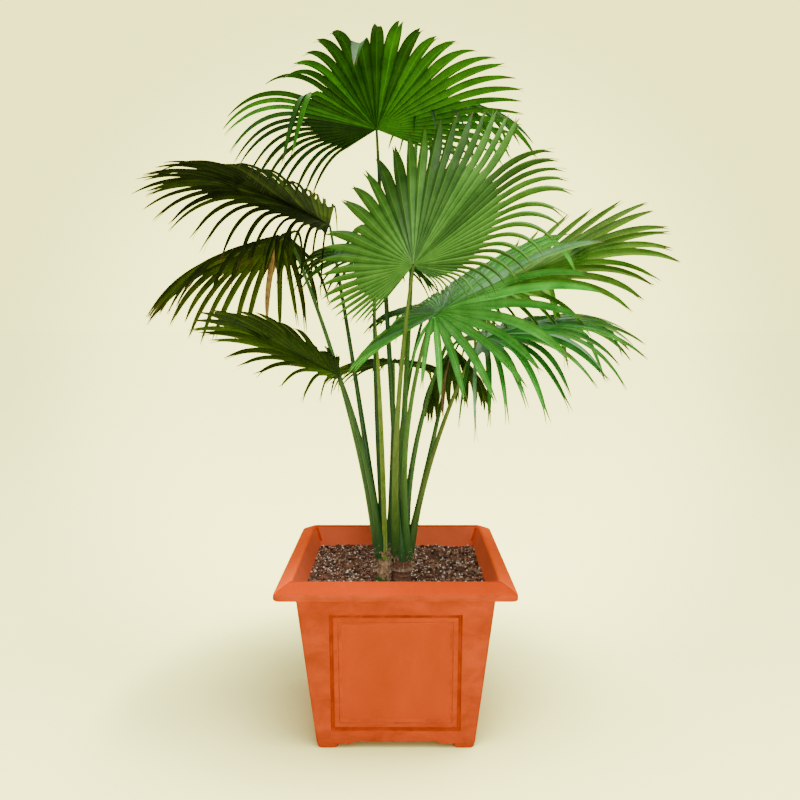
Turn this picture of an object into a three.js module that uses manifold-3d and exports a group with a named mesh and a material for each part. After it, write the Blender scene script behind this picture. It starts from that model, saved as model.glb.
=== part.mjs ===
// A fan palm in a square planter. Millimetres, +Z up, the planter's front towards -Y.
// The origin is on the floor, under the middle of the planter.
import * as THREE from 'three';
import { mergeVertices } from 'three/addons/utils/BufferGeometryUtils.js';
import Module from 'manifold-3d';

const wasm = await Module();
wasm.setup();

const degrees = THREE.MathUtils.degToRad;
const palm = new THREE.Group();

// ---------------------------------------------------------------- driving dimensions

const fit = 0.3; // air between two pieces that meet

const planter = {
  rimSide: 420, // outside of the lip
  rimWidth: 31, // the lip, seen from above
  rimTop: 327.6,
  lipEdgeTop: 309, // where the sloping lip turns down
  lipUnder: 300,
  lipRound: 4,
  bodyTopSide: 354, // just under the lip
  bodyFootSide: 291,
  footHeight: 9,
  footSide: 36,
  footInset: 1, // from the body's side to the foot's
  footTaper: 2,
  skirtRise: 4.5, // the middle of the skirt stands this much higher
  skirtRun: 162,
  wall: 8,
  floor: 10,
  cornerRound: 9,
  shoulder: 8, // the rounded turn between the lip's slope and its outer edge
  lipInnerRound: 4,
};

const panel = {
  width: 235,
  foot: 34.6,
  top: 263.4,
  step: 15.5, // from the outer frame to the sunk field
  frameDepth: 1.8,
  fieldDepth: 3.6,
};

const soil = { edge: 285, middle: 274, hollow: 60, bankWidth: 0.8, bankDrop: 4 };

const stems = {
  left: { x: -23, y: -20, foot: 14.5, top: 13.5, height: 62, ring: 12.5 },
  right: { x: 11.5, y: -20, foot: 19.5, top: 18.5, height: 60, ring: 15.5 },
};

const petiole = {
  base: 4.3, // radii along the stalk
  swell: 7.4,
  neck: 4,
  tip: 2.2,
  swellAt: 0.22,
  neckAt: 0.94,
  sides: 7,
  steps: 8,
};

const blade = {
  thick: 3.9, // at the hub and over the united part
  fingerThick: 3,
  pleat: 3, // half the height of a fold
  rows: [0.5, 1], // where the united part is folded, as shares of its length
  waist: 0.66, // width half-way along a free finger, as a share of its root
  waistPleat: 0.7, // height of the fold there
  ribSteps: 20,
  stump: 0.04, // the shortest finger, as a share of its rib
  clearance: 14, // kept between a finger and whatever else it would meet
};

const colours = {
  planter: 0xc85a2c,
  soil: 0x3a261c,
  stem: 0x8a6b47,
  petiole: 0x4d7a2e,
  spear: 0x8ea24c,
};

// Each frond: hub, where its blade leads (heading, rise and roll of the middle rib), how far it
// reaches, the angle it spans, lopsidedness, the fold about the middle rib, how far the ribs run
// along the middle rib before they leave it, and the arch of the blade. Then, in even steps from
// edge to edge, the reach of the ribs as shares of it, the droop of the free fingers, and where
// they part. seat is the angle at which its stalk stands on the stem, bow the stalk's belly.
const fronds = [
  {
    name: 'top_frond', stem: 'right', seat: 270, bow: [-1.5, 1], colour: 0x2c5c14, segments: 30,
    hub: [-36, 0, 1131], heading: -97, rise: 31, roll: 3, reach: 286, span: 252, skew: 0, fold: 5,
    costa: 0, arch: 0.09, sides: [0.74, 0.98, 1.06, 0.8, 0.98, 0.88, 0.98, 0.95, 0.6],
    droop: [2.1, 1.3, 0.95, 0.4, 0.1], parted: [0.36, 0.44, 0.56, 0.52, 0.44],
  },
  {
    name: 'front_frond', stem: 'right', seat: 222, bow: [-12, -16], colour: 0x5c8c3a, segments: 32,
    hub: [30, -190, 868], heading: -100, rise: 117, roll: -26, reach: 293, span: 273, skew: 0.17,
    fold: 0, costa: 0, arch: -0.1, sides: [0.5, 0.72, 0.875, 0.97, 1, 1, 0.92, 0.62, 0.25],
    droop: [0.38, 0.45, 0.5, 1.35, 1.8], parted: [0.56, 0.6, 0.46],
  },
  {
    name: 'left_upper_frond', stem: 'left', seat: 128, bow: [3, 4], colour: 0x2a3312, segments: 28,
    hub: [-134, 100, 968], heading: 192, rise: 26, roll: -27, reach: 385, span: 172, skew: 0,
    fold: 11, costa: 0.6, arch: 0.42, sides: [0.58, 1, 0.56], droop: [2.6, 0.42, 4.5],
    parted: [0.52, 0.5, 0.32],
  },
  {
    name: 'left_middle_frond', stem: 'left', seat: 178, bow: [22, -14], colour: 0x31421a,
    segments: 28, hub: [-215, 90, 946], heading: 183, rise: -16, roll: 14, reach: 330, span: 218,
    skew: -0.09, fold: -15, costa: 0.3, arch: 0.35, sides: [0.68, 1, 0.6], droop: [1.4, 0.55, 1.6],
    parted: [0.32, 0.42, 0.34],
  },
  {
    name: 'left_lower_frond', stem: 'left', seat: 226, bow: [12, -4], colour: 0x35521d,
    segments: 28, hub: [-102, -75, 676], heading: 192, rise: 26, roll: -18, reach: 292, span: 176,
    skew: -0.05, fold: 3, costa: 0.5, arch: 0, sides: [0.3, 0.78, 1, 0.76, 0.16],
    droop: [0.4, 0.35, 0.35, 0.8, 1.6], parted: [0.72, 0.5, 0.32],
  },
  {
    name: 'right_lower_frond', stem: 'right', seat: 315, bow: [-22, 10], colour: 0x2f7d3c,
    segments: 32, hub: [60, -150, 781], heading: 10, rise: 34, roll: 27, reach: 336, span: 315,
    skew: 0.12, fold: -21, costa: 0.2, arch: 0.2, sides: [0.34, 0.68, 1, 0.82, 0.46],
    droop: [1.8, 0.4, 0.6], parted: [0.14, 0.42, 0.6],
  },
  {
    name: 'right_side_frond', stem: 'right', seat: 350, bow: [-16, -4], colour: 0x3a8a4a,
    segments: 28, hub: [151, -60, 740], heading: 2, rise: 20, roll: 10, reach: 306, span: 225,
    skew: 0, fold: 2, costa: 0.3, arch: 0.5, sides: [0.85, 1, 0.5], droop: [1.3, 0.7, 0.7],
    parted: [0.26, 0.46, 0.38],
  },
  {
    name: 'right_upper_frond', stem: 'right', seat: 62, bow: [-32, 2], colour: 0x55702c,
    segments: 28, hub: [147, 70, 831], heading: -20, rise: 15, roll: 42, reach: 390, span: 202,
    skew: 0.1, fold: -4, costa: 0.62, arch: -0.02, sides: [0.25, 0.5, 0.88, 1.02, 0.95, 0.3, 0.08],
    droop: [1, 0.9, 0.7, -0.3, -0.3], parted: [0.4, 0.64, 0.6],
  },
  {
    name: 'right_hanging_frond', stem: 'right', seat: 26, bow: [0, 0], colour: 0x2f4a20,
    segments: 24, hub: [118, 110, 722], heading: -87, rise: -5, roll: 6, reach: 176, span: 278,
    skew: -0.06, fold: -50, costa: 0, arch: 1.2, sides: [0.65, 1, 0.65], droop: [1.06, 1.06, 1.06],
    parted: [0.42, 0.51, 0.42],
  },
  {
    name: 'rear_top_frond', stem: 'right', seat: 134, bow: [3, -10], colour: 0x3f7a58, segments: 24,
    hub: [42, 80, 1190], heading: 8, rise: 8, roll: 0, reach: 262, span: 250, skew: 0, fold: -4,
    costa: 0.2, arch: 0.5, sides: [0.42, 1, 0.42], droop: [0.9, 0.9, 0.9],
    parted: [0.24, 0.26, 0.24],
  },
  {
    name: 'rear_right_frond', stem: 'right', seat: 98, bow: [-22, 6], colour: 0x33683a,
    segments: 24, hub: [60, 120, 800], heading: 75, rise: 14, roll: 0, reach: 212, span: 205,
    skew: 0, fold: -4, costa: 0.2, arch: 0.4, sides: [0.6, 1, 0.6], droop: [0.7, 0.7, 0.7],
    parted: [0.42, 0.52, 0.42],
  },
  {
    name: 'rear_left_frond', stem: 'left', seat: 84, bow: [-6, -12], colour: 0x2f6a48, segments: 24,
    hub: [-45, 120, 905], heading: 116, rise: 24, roll: 0, reach: 225, span: 230, skew: 0, fold: -4,
    costa: 0.2, arch: 0.5, sides: [0.7, 1, 0.55], droop: [1.1, 0.8, 1.1], parted: [0.3, 0.45, 0.3],
  },
  {
    name: 'rear_low_frond', stem: 'left', seat: 28, bow: [1, -12], colour: 0x2a4c26, segments: 24,
    hub: [-5, 115, 690], heading: 102, rise: 6, roll: 0, reach: 200, span: 232, skew: 0, fold: -4,
    costa: 0.2, arch: 0.3, sides: [0.55, 1, 0.55], droop: [0.6, 0.6, 0.6],
    parted: [0.42, 0.52, 0.42],
  },
];

// The youngest leaf, still folded shut into a spear.
const spear = { stem: 'left', seat: 278, tip: [-40, -18, 795], radius: 5.2, point: 0.8, belly: 6 };

// ---------------------------------------------------------------- shared helpers

function seededRandom(seed) {
  let state = seed;
  return () => {
    state = (state + 0x6d2b79f5) | 0;
    let mixed = Math.imul(state ^ (state >>> 15), 1 | state);
    mixed = (mixed + Math.imul(mixed ^ (mixed >>> 7), 61 | mixed)) ^ mixed;
    return ((mixed ^ (mixed >>> 14)) >>> 0) / 4294967296;
  };
}

function vector(list) {
  return new THREE.Vector3(list[0], list[1], list[2]);
}

function toManifold(geometry) {
  const bare = geometry.clone();
  bare.deleteAttribute('normal');
  bare.deleteAttribute('uv');
  const merged = mergeVertices(bare, 1e-4);
  return new wasm.Manifold(
    new wasm.Mesh({
      numProp: 3,
      vertProperties: new Float32Array(merged.attributes.position.array),
      triVerts: new Uint32Array(merged.index.array),
    }),
  );
}

function toGeometry(solid) {
  const mesh = solid.getMesh();
  const geometry = new THREE.BufferGeometry();
  geometry.setAttribute('position', new THREE.BufferAttribute(mesh.vertProperties, 3));
  geometry.setIndex(new THREE.BufferAttribute(mesh.triVerts, 1));
  geometry.computeVertexNormals();
  return geometry;
}

function addPiece(name, geometry, colour, roughness) {
  const material = new THREE.MeshStandardMaterial({ color: colour, roughness, metalness: 0 });
  const mesh = new THREE.Mesh(geometry, material);
  mesh.name = name;
  palm.add(mesh);
}

// ---------------------------------------------------------------- planter and soil

// A square turned piece: a profile of [half width, height] swept round a square whose corners
// are rounded by an arc of three points. The profile starts and ends on the axis.
function squareTurned(profile, cornerRound) {
  const cornerPoints = 3;
  const around = 4 * cornerPoints;
  const points = profile.map(([half, height]) => new THREE.Vector2(half, height));
  const geometry = new THREE.LatheGeometry(points, around);
  const position = geometry.attributes.position;
  for (let i = 0; i < position.count; i += 1) {
    const column = Math.floor(i / points.length) % around;
    const [half, height] = profile[i % points.length];
    const round = Math.min(cornerRound, half);
    const corner = Math.floor(column / cornerPoints);
    const middle = degrees(45 + 90 * corner);
    const angle = degrees(90 * corner + (90 * (column % cornerPoints)) / (cornerPoints - 1));
    const x = Math.sign(Math.cos(middle)) * (half - round) + round * Math.cos(angle);
    const y = Math.sign(Math.sin(middle)) * (half - round) + round * Math.sin(angle);
    position.setXYZ(i, x, y, height);
  }
  return geometry;
}

// Half width of the body's outside at a height.
function bodyHalf(height) {
  const share = (height - planter.footHeight) / (planter.lipUnder - planter.footHeight);
  return THREE.MathUtils.lerp(planter.bodyFootSide, planter.bodyTopSide, share) / 2;
}

const cavityFloor = planter.footHeight + planter.floor;
const rimHalf = planter.rimSide / 2;
const rimInner = rimHalf - planter.rimWidth;
const wallTop = planter.lipUnder - 4; // where the inner wall bends out to the lip

function planterBody() {
  const profile = [
    [0, planter.footHeight],
    [bodyHalf(planter.footHeight), planter.footHeight],
    [bodyHalf(planter.lipUnder), planter.lipUnder],
    [rimHalf - planter.lipRound, planter.lipUnder],
    [rimHalf, planter.lipUnder + planter.lipRound],
    [rimHalf, planter.lipEdgeTop],
    [rimHalf - 0.3 * planter.shoulder, planter.lipEdgeTop + 0.6 * planter.shoulder],
    [rimHalf - 1.2 * planter.shoulder, planter.lipEdgeTop + planter.shoulder],
    [rimInner + planter.lipInnerRound, planter.rimTop],
    [rimInner, planter.rimTop - planter.lipInnerRound / 2],
    [bodyHalf(planter.lipUnder) - planter.wall, wallTop],
    [bodyHalf(cavityFloor) - planter.wall, cavityFloor],
    [0, cavityFloor],
  ];
  return toManifold(squareTurned(profile, planter.cornerRound));
}

// A slab that leans with the wall on side 0 to 3 and cuts it to a depth.
function wallCut(side, width, foot, top, depth) {
  const slabDepth = 40;
  const slab = new THREE.BoxGeometry(width, slabDepth, 1);
  slab.translate(0, depth - slabDepth / 2, 0.5);
  const position = slab.attributes.position;
  for (let i = 0; i < position.count; i += 1) {
    const height = THREE.MathUtils.lerp(foot, top, position.getZ(i));
    position.setY(i, position.getY(i) - bodyHalf(height));
    position.setZ(i, height);
  }
  slab.rotateZ(degrees(90 * side));
  return toManifold(slab);
}

// A square foot under corner 0 to 3, sunk a little way into the body.
function cornerFoot(corner) {
  const sunk = 1;
  const height = planter.footHeight + sunk;
  const topRadius = planter.footSide * Math.SQRT1_2;
  const foot = new THREE.CylinderGeometry(topRadius, topRadius - planter.footTaper, height, 4);
  foot.rotateY(degrees(45));
  foot.rotateX(degrees(90));
  const reach = (planter.bodyFootSide - planter.footSide) / 2 - planter.footInset;
  const angle = degrees(45 + 90 * corner);
  const [x, y] = [Math.sign(Math.cos(angle)), Math.sign(Math.sin(angle))];
  foot.translate(x * reach, y * reach, height / 2);
  return toManifold(foot);
}

// The low arch of the skirt, cut right through under two opposite walls.
function skirtArch(turn) {
  const sunk = 1;
  const arch = new THREE.BoxGeometry(planter.skirtRun, planter.rimSide, planter.skirtRise + sunk);
  arch.translate(0, 0, planter.footHeight + (planter.skirtRise - sunk) / 2);
  arch.rotateZ(degrees(turn));
  return toManifold(arch);
}

function makePlanter() {
  const { width, foot, top, step, frameDepth, fieldDepth } = panel;
  let body = planterBody();
  for (let side = 0; side < 4; side += 1) {
    body = body.subtract(wallCut(side, width, foot, top, frameDepth));
    body = body.subtract(wallCut(side, width - 2 * step, foot + step, top - step, fieldDepth));
    body = body.add(cornerFoot(side));
  }
  for (const turn of [0, 90]) {
    body = body.subtract(skirtArch(turn));
  }
  return toGeometry(body);
}

// The soil fills the planter to a low bank along the walls, hollowed towards the stems.
function makeSoil() {
  const footHalf = bodyHalf(cavityFloor) - planter.wall;
  const topHalf = bodyHalf(planter.lipUnder) - planter.wall;
  const wallAt = (height) => {
    const share = (height - cavityFloor) / (wallTop - cavityFloor);
    return THREE.MathUtils.lerp(footHalf, topHalf, share) - 2 * fit;
  };
  const foot = cavityFloor + fit;
  const profile = [
    [0, foot],
    [wallAt(foot), foot],
    [wallAt(soil.edge), soil.edge],
    [wallAt(soil.edge) * soil.bankWidth, soil.edge - soil.bankDrop],
    [soil.hollow, soil.middle],
    [0, soil.middle],
  ];
  return squareTurned(profile, planter.cornerRound - 1);
}

addPiece('planter', makePlanter(), colours.planter, 0.75);
addPiece('potting_soil', makeSoil(), colours.soil, 0.95);

// ---------------------------------------------------------------- stems

// A short ringed stem of old leaf bases, standing on the soil.
function makeStem({ x, y, foot, top, height }) {
  const sides = 12;
  const profile = [
    new THREE.Vector2(0, 0),
    new THREE.Vector2(foot, 0),
    new THREE.Vector2(foot * 0.92, height * 0.22),
    new THREE.Vector2(foot, height * 0.42),
    new THREE.Vector2(top * 0.94, height * 0.66),
    new THREE.Vector2(top, height * 0.86),
    new THREE.Vector2(top * 0.97, height),
    new THREE.Vector2(0, height),
  ];
  const geometry = new THREE.LatheGeometry(profile, sides);
  geometry.rotateX(degrees(90));
  geometry.translate(x, y, soil.middle + fit);
  return geometry;
}

for (const side of ['left', 'right']) {
  addPiece(`${side}_stem`, makeStem(stems[side]), colours.stem, 0.9);
}

// ---------------------------------------------------------------- petioles

// Where a stalk stands: at its own angle on a ring on the stem's top.
function seatOf({ stem, seat }) {
  const { x, y, height, ring } = stems[stem];
  const angle = degrees(seat);
  return new THREE.Vector3(
    x + ring * Math.cos(angle),
    y + ring * Math.sin(angle),
    soil.middle + fit + height + fit,
  );
}

function stalkRadius(share) {
  if (share < petiole.swellAt) {
    const rise = Math.sin((share / petiole.swellAt) * (Math.PI / 2));
    return THREE.MathUtils.lerp(petiole.base, petiole.swell, rise);
  }
  if (share < petiole.neckAt) {
    const rest = (share - petiole.swellAt) / (petiole.neckAt - petiole.swellAt);
    return THREE.MathUtils.lerp(petiole.swell, petiole.neck, rest);
  }
  const last = (share - petiole.neckAt) / (1 - petiole.neckAt);
  return THREE.MathUtils.lerp(petiole.neck, petiole.tip, last);
}

// The stalk's line: from its seat on the stem to the hub of its blade, with a gentle belly.
function stalkLine(frond) {
  const seat = seatOf(frond);
  const hub = vector(frond.hub);
  const belly = seat.clone().lerp(hub, 0.5);
  belly.x += 2 * frond.bow[0];
  belly.y += 2 * frond.bow[1];
  return new THREE.QuadraticBezierCurve3(seat, belly, hub);
}

// A round limb bent along a line, up to a share of its length: a cylinder of rings, each moved to
// its place on the line. The first ring lies flat on its seat.
function limbAlong(line, radiusAt, end, sides, steps) {
  const geometry = new THREE.CylinderGeometry(1, 1, 1, sides, steps);
  const position = geometry.attributes.position;
  for (let i = 0; i < position.count; i += 1) {
    const share = position.getY(i) + 0.5;
    const along = share * end;
    const tangent = line.getTangent(along);
    const side = new THREE.Vector3(1, 0, 0).cross(tangent).normalize();
    const front = tangent.clone().cross(side);
    const point = line.getPoint(along);
    const seatHeight = point.z;
    point.addScaledVector(front, -position.getX(i) * radiusAt(share));
    point.addScaledVector(side, -position.getZ(i) * radiusAt(share));
    position.setXYZ(i, point.x, point.y, share === 0 ? seatHeight : point.z);
  }
  return geometry;
}

const spearLine = new THREE.QuadraticBezierCurve3(
  seatOf(spear),
  seatOf(spear).lerp(vector(spear.tip), 0.5).add(new THREE.Vector3(spear.belly, 0, 0)),
  vector(spear.tip),
);
const spearRadius = (share) => Math.max(spear.point, spear.radius * Math.sqrt(1 - share ** 2));
addPiece('spear_leaf', limbAlong(spearLine, spearRadius, 1, petiole.sides, 10), colours.spear, 0.5);

// ---------------------------------------------------------------- blades

// The blade's own directions: along its middle rib, across it, and out of its upper face.
function bladeFrame({ heading, rise, roll }) {
  const turn = degrees(heading);
  const climb = degrees(rise);
  const lean = degrees(roll);
  const midrib = new THREE.Vector3(
    Math.cos(turn) * Math.cos(climb),
    Math.sin(turn) * Math.cos(climb),
    Math.sin(climb),
  );
  const level = new THREE.Vector3(-Math.sin(turn), Math.cos(turn), 0);
  const up = midrib.clone().cross(level);
  const across = level.multiplyScalar(Math.cos(lean)).addScaledVector(up, Math.sin(lean));
  return { midrib, across, face: midrib.clone().cross(across) };
}

const foldSoftness = Math.sqrt(0.02); // rounds the fold over the middle rib
const steadyAgainstSag = 0.7; // how far an upright rib resists its own weight
const sagGrowth = 1.4; // how fast a finger's droop grows towards its tip
const still = { turn: 0, droop: 1, stretch: 1 };

// A value at place u along the blade, given in even steps from edge to edge. Three values are an
// edge, the middle and the other edge, with a smooth change between them.
function atPlace(values, u) {
  if (values.length === 3) {
    return THREE.MathUtils.lerp(values[1], u < 0.5 ? values[0] : values[2], (2 * u - 1) ** 2);
  }
  const place = THREE.MathUtils.clamp(u, 0, 1) * (values.length - 1);
  const before = Math.min(Math.floor(place), values.length - 2);
  return THREE.MathUtils.lerp(values[before], values[before + 1], place - before);
}

// Where the fingers part along the rib at place u, as a share of the rib's length.
const partedAt = (frond, u) => atPlace(frond.parted, u);

// The rib at place u across the blade, from 0 on one edge to 1 on the other. It starts along its
// own ray of the fan and is bent down by its weight, more so where it is a free finger.
function ribPoints(frond, u, wobble = still) {
  const { midrib, across, face } = frond.frame;
  const swing = 2 * u - 1;
  const angle = (swing * degrees(frond.span)) / 2;
  const fold = degrees(frond.fold);
  const lift = Math.hypot(Math.sin(angle), foldSoftness) - foldSoftness;
  const ray = midrib.clone().multiplyScalar(Math.cos(angle));
  ray.addScaledVector(across, Math.sin(angle) * Math.cos(fold));
  ray.addScaledVector(face, lift * Math.sin(fold));
  ray.normalize();
  const sideways = midrib.clone().multiplyScalar(-Math.sin(angle));
  sideways.addScaledVector(across, Math.cos(angle));
  const length = frond.reach * atPlace(frond.sides, u) * (1 + frond.skew * swing);
  const parted = partedAt(frond, u);
  const droop = atPlace(frond.droop, u) * wobble.droop;
  const stay = frond.costa * (1 - Math.abs(swing)) + 0.001;
  const firm = 1 - steadyAgainstSag * THREE.MathUtils.clamp(ray.z, 0, 1) ** 2;
  const points = [vector(frond.hub)];
  for (let step = 0; step < blade.ribSteps; step += 1) {
    const share = (step + 0.5) / blade.ribSteps;
    const free = THREE.MathUtils.clamp((share - parted) / (1 - parted), 0, 1);
    const left = THREE.MathUtils.clamp(share / stay, 0, 1) ** 1.5;
    const heading = ray.clone().lerp(midrib, 1 - left).addScaledVector(sideways, wobble.turn * free);
    heading.z -= (frond.arch * share + droop * free ** sagGrowth) * firm;
    const stride = (length / blade.ribSteps) * (free > 0 ? wobble.stretch : 1);
    points.push(points[step].clone().addScaledVector(heading.normalize(), stride));
  }
  return points;
}

// The point at a share of a rib's length.
function pointAt(points, share) {
  const place = THREE.MathUtils.clamp(share, 0, 1) * blade.ribSteps;
  const before = Math.min(Math.floor(place), blade.ribSteps - 1);
  return points[before].clone().lerp(points[before + 1], place - before);
}

// Place, direction across the blade and upper-face normal at u and a share along the rib.
function bladePlace(frond, u, share, wobble = still) {
  const beside = 0.01;
  const ahead = 0.04;
  const rib = ribPoints(frond, u, wobble);
  const point = pointAt(rib, share);
  const along = pointAt(rib, share + ahead).sub(pointAt(rib, share - ahead));
  const left = pointAt(ribPoints(frond, u - beside, wobble), share);
  const right = pointAt(ribPoints(frond, u + beside, wobble), share);
  const lateral = right.sub(left);
  lateral.addScaledVector(along, -lateral.dot(along) / along.lengthSq()).normalize();
  return { point, lateral, normal: along.normalize().cross(lateral) };
}

// One closed skin, upper and under side: a fan of pleats to where the fingers part, then the
// fingers, each a folded strip that narrows to its tip.
function bladeSkin(frond) {
  const columns = 2 * frond.segments;
  const vertices = [];
  const faces = [];
  const addVertex = (point) => vertices.push(point) - 1;
  const addPair = ({ point, normal }, lift, thick) => {
    const middle = point.clone().addScaledVector(normal, lift);
    return {
      over: addVertex(middle.clone().addScaledVector(normal, thick / 2)),
      under: addVertex(middle.clone().addScaledVector(normal, -thick / 2)),
    };
  };
  const quad = (a, b, c, d) => {
    faces.push([a, b, c]);
    faces.push([a, c, d]);
  };
  const strip = (near, far) => {
    for (let j = 0; j + 1 < near.length; j += 1) {
      quad(near[j].over, far[j].over, far[j + 1].over, near[j + 1].over);
      quad(near[j].under, near[j + 1].under, far[j + 1].under, far[j].under);
    }
  };
  const wall = (near, far) => quad(near.over, near.under, far.under, far.over);

  const hub = addPair(bladePlace(frond, 0.5, 0), 0, blade.thick);
  const rows = blade.rows.map((rowShare) => {
    const row = [];
    for (let j = 0; j <= columns; j += 1) {
      const u = j / columns;
      const lift = (j % 2 === 0 ? 1 : -1) * blade.pleat * rowShare;
      row.push(addPair(bladePlace(frond, u, partedAt(frond, u) * rowShare), lift, blade.thick));
    }
    return row;
  });
  for (let j = 0; j < columns; j += 1) {
    faces.push([hub.over, rows[0][j].over, rows[0][j + 1].over]);
    faces.push([hub.under, rows[0][j + 1].under, rows[0][j].under]);
  }
  wall(hub, rows[0][0]);
  wall(rows[0][columns], hub);
  for (let k = 0; k + 1 < rows.length; k += 1) {
    strip(rows[k], rows[k + 1]);
    wall(rows[k][0], rows[k + 1][0]);
    wall(rows[k + 1][columns], rows[k][columns]);
  }

  const lastRow = rows[rows.length - 1];
  frond.fingers.forEach((finger, i) => {
    const root = lastRow.slice(2 * i, 2 * i + 3);
    const parted = partedAt(frond, finger.u);
    const rootWidth = vertices[root[0].over].distanceTo(vertices[root[2].over]);
    const waistShare = THREE.MathUtils.lerp(parted, finger.end, 0.5);
    const place = bladePlace(frond, finger.u, waistShare, finger.wobble);
    const half = (rootWidth * blade.waist) / 2;
    const waist = [-1, 0, 1].map((across) => {
      const point = place.point.clone().addScaledVector(place.lateral, across * half);
      const lift = (across === 0 ? -1 : 1) * blade.pleat * blade.waistPleat;
      return addPair({ point, normal: place.normal }, lift, blade.fingerThick);
    });
    strip(root, waist);
    wall(root[0], waist[0]);
    wall(waist[2], root[2]);
    const tip = addVertex(bladePlace(frond, finger.u, finger.end, finger.wobble).point);
    const [left, middle, right] = waist;
    faces.push([left.over, tip, middle.over]);
    faces.push([middle.over, tip, right.over]);
    faces.push([right.over, tip, right.under]);
    faces.push([right.under, tip, middle.under]);
    faces.push([middle.under, tip, left.under]);
    faces.push([left.under, tip, left.over]);
  });

  const geometry = new THREE.BufferGeometry();
  const flat = vertices.flatMap((vertex) => vertex.toArray());
  geometry.setAttribute('position', new THREE.Float32BufferAttribute(flat, 3));
  geometry.setIndex(faces.flat());
  return geometry;
}

// Points spread over a blade from its hub out to a share of each rib.
function samples(frond, reachAt, step) {
  const list = [];
  const spread = 3 * frond.segments;
  for (let j = 0; j <= spread; j += 1) {
    const u = j / spread;
    const points = ribPoints(frond, u);
    const reach = reachAt(frond, u);
    for (let share = 0; share <= reach; share += step) {
      list.push(pointAt(points, share));
    }
  }
  return list;
}

// A stalk's line as evenly spaced places, the last of which lie in its own blade.
const stalkPlaces = 60;
const ownStalkPlaces = 52;

const random = seededRandom(71);
const oneWobble = (spread) => 2 * spread * (random() - 0.5);
for (const frond of fronds) {
  frond.frame = bladeFrame(frond);
  frond.line = stalkLine(frond);
  frond.united = samples(frond, partedAt, 0.05);
  frond.placed = [];
  frond.stalk = frond.line.getSpacedPoints(stalkPlaces);
  frond.fingers = [];
  for (let i = 0; i < frond.segments; i += 1) {
    const wobble = {
      turn: oneWobble(0.025),
      droop: 1 + oneWobble(0.15),
      stretch: 1 + oneWobble(0.05),
    };
    frond.fingers.push({ u: (i + 0.5) / frond.segments, end: 1, wobble });
  }
}

// A finger ends before it would meet another frond's blade, a stalk or a finger set earlier.
function isClear(frond, point) {
  return fronds.every((other) => {
    const stalkLimit = other === frond ? ownStalkPlaces : stalkPlaces;
    const stalkGap = blade.clearance + petiole.swell;
    const meetsStalk = other.stalk.some((place, index) => {
      return index < stalkLimit && place.distanceTo(point) < stalkGap;
    });
    if (meetsStalk) {
      return false;
    }
    if (other === frond) {
      return true;
    }
    const near = (place) => place.distanceTo(point) < blade.clearance;
    return !other.united.some(near) && !other.placed.some(near);
  });
}

for (const frond of fronds) {
  const stride = 0.02;
  const own = [];
  for (const finger of frond.fingers) {
    const points = ribPoints(frond, finger.u, finger.wobble);
    const root = partedAt(frond, finger.u);
    let share = root;
    while (share < 1 && isClear(frond, pointAt(points, share + stride))) {
      share += stride;
      own.push(pointAt(points, share));
    }
    finger.end = Math.max(Math.min(share, 1), root + blade.stump);
  }
  frond.placed = own;
}

// A stalk ends just short of the underside of its own blade.
function stalkEnd(frond) {
  const nearHub = samples(frond, () => 0.12, 0.004);
  const gap = blade.thick / 2 + fit + petiole.tip;
  const step = 0.002;
  let share = 1;
  while (nearHub.some((place) => place.distanceTo(frond.line.getPoint(share)) < gap)) {
    share -= step;
  }
  return share;
}

for (const frond of fronds) {
  const end = stalkEnd(frond);
  const stalk = limbAlong(frond.line, stalkRadius, end, petiole.sides, petiole.steps);
  addPiece(frond.name.replace('frond', 'petiole'), stalk, colours.petiole, 0.5);
  const skin = bladeSkin(frond);
  skin.computeVertexNormals();
  addPiece(frond.name, skin, frond.colour, 0.45);
}

export default palm;
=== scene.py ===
import math
import random

import bmesh
import bpy
import numpy as np
from mathutils import Matrix, Vector, noise


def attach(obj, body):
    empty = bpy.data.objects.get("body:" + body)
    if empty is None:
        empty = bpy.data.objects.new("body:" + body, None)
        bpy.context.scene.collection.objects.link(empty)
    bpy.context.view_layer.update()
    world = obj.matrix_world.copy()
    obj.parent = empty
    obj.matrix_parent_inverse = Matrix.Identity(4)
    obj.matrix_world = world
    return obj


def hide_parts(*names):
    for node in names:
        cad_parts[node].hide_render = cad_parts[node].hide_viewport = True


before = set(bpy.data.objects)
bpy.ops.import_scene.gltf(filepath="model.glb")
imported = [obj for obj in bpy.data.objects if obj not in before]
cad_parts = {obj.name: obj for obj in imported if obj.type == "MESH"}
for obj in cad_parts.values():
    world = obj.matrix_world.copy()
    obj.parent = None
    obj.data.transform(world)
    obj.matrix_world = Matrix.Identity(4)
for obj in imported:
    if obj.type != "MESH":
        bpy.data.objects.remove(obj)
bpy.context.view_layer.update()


# ---------------- the studio
# A plain pale floor that runs into a pale surround, lit by a large soft lamp overhead and a weaker
# one from the front, with the camera a little above the plant's middle, tipped slightly down. The
# floor is not part of the object.
def add_node(tree, kind, inputs=(), **settings):
    """A shader node with its settings, each input set to a value or joined to a socket."""
    made = tree.nodes.new(kind if kind.startswith("NodeGroup") else "ShaderNode" + kind)
    for name, value in settings.items():
        setattr(made, name, value)
    for name, value in dict(inputs).items():
        if isinstance(value, bpy.types.NodeSocket):
            tree.links.new(value, made.inputs[name])
        else:
            made.inputs[name].default_value = value
    return made


def worked(tree, operation, *values, **settings):
    """The result of a sum on values or sockets."""
    return add_node(tree, "Math", dict(enumerate(values)), operation=operation, **settings).outputs[0]


def ranged(tree, value, low, high, made_low, made_high, **settings):
    """A value carried over from one range to another."""
    inputs = {0: value, 1: low, 2: high, 3: made_low, 4: made_high}
    return add_node(tree, "MapRange", inputs, **settings).outputs[0]


def new_material(name):
    """An empty material and its node tree."""
    material = bpy.data.materials.new(name)
    material.use_nodes = True
    material.node_tree.nodes.clear()
    return material, material.node_tree


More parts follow.
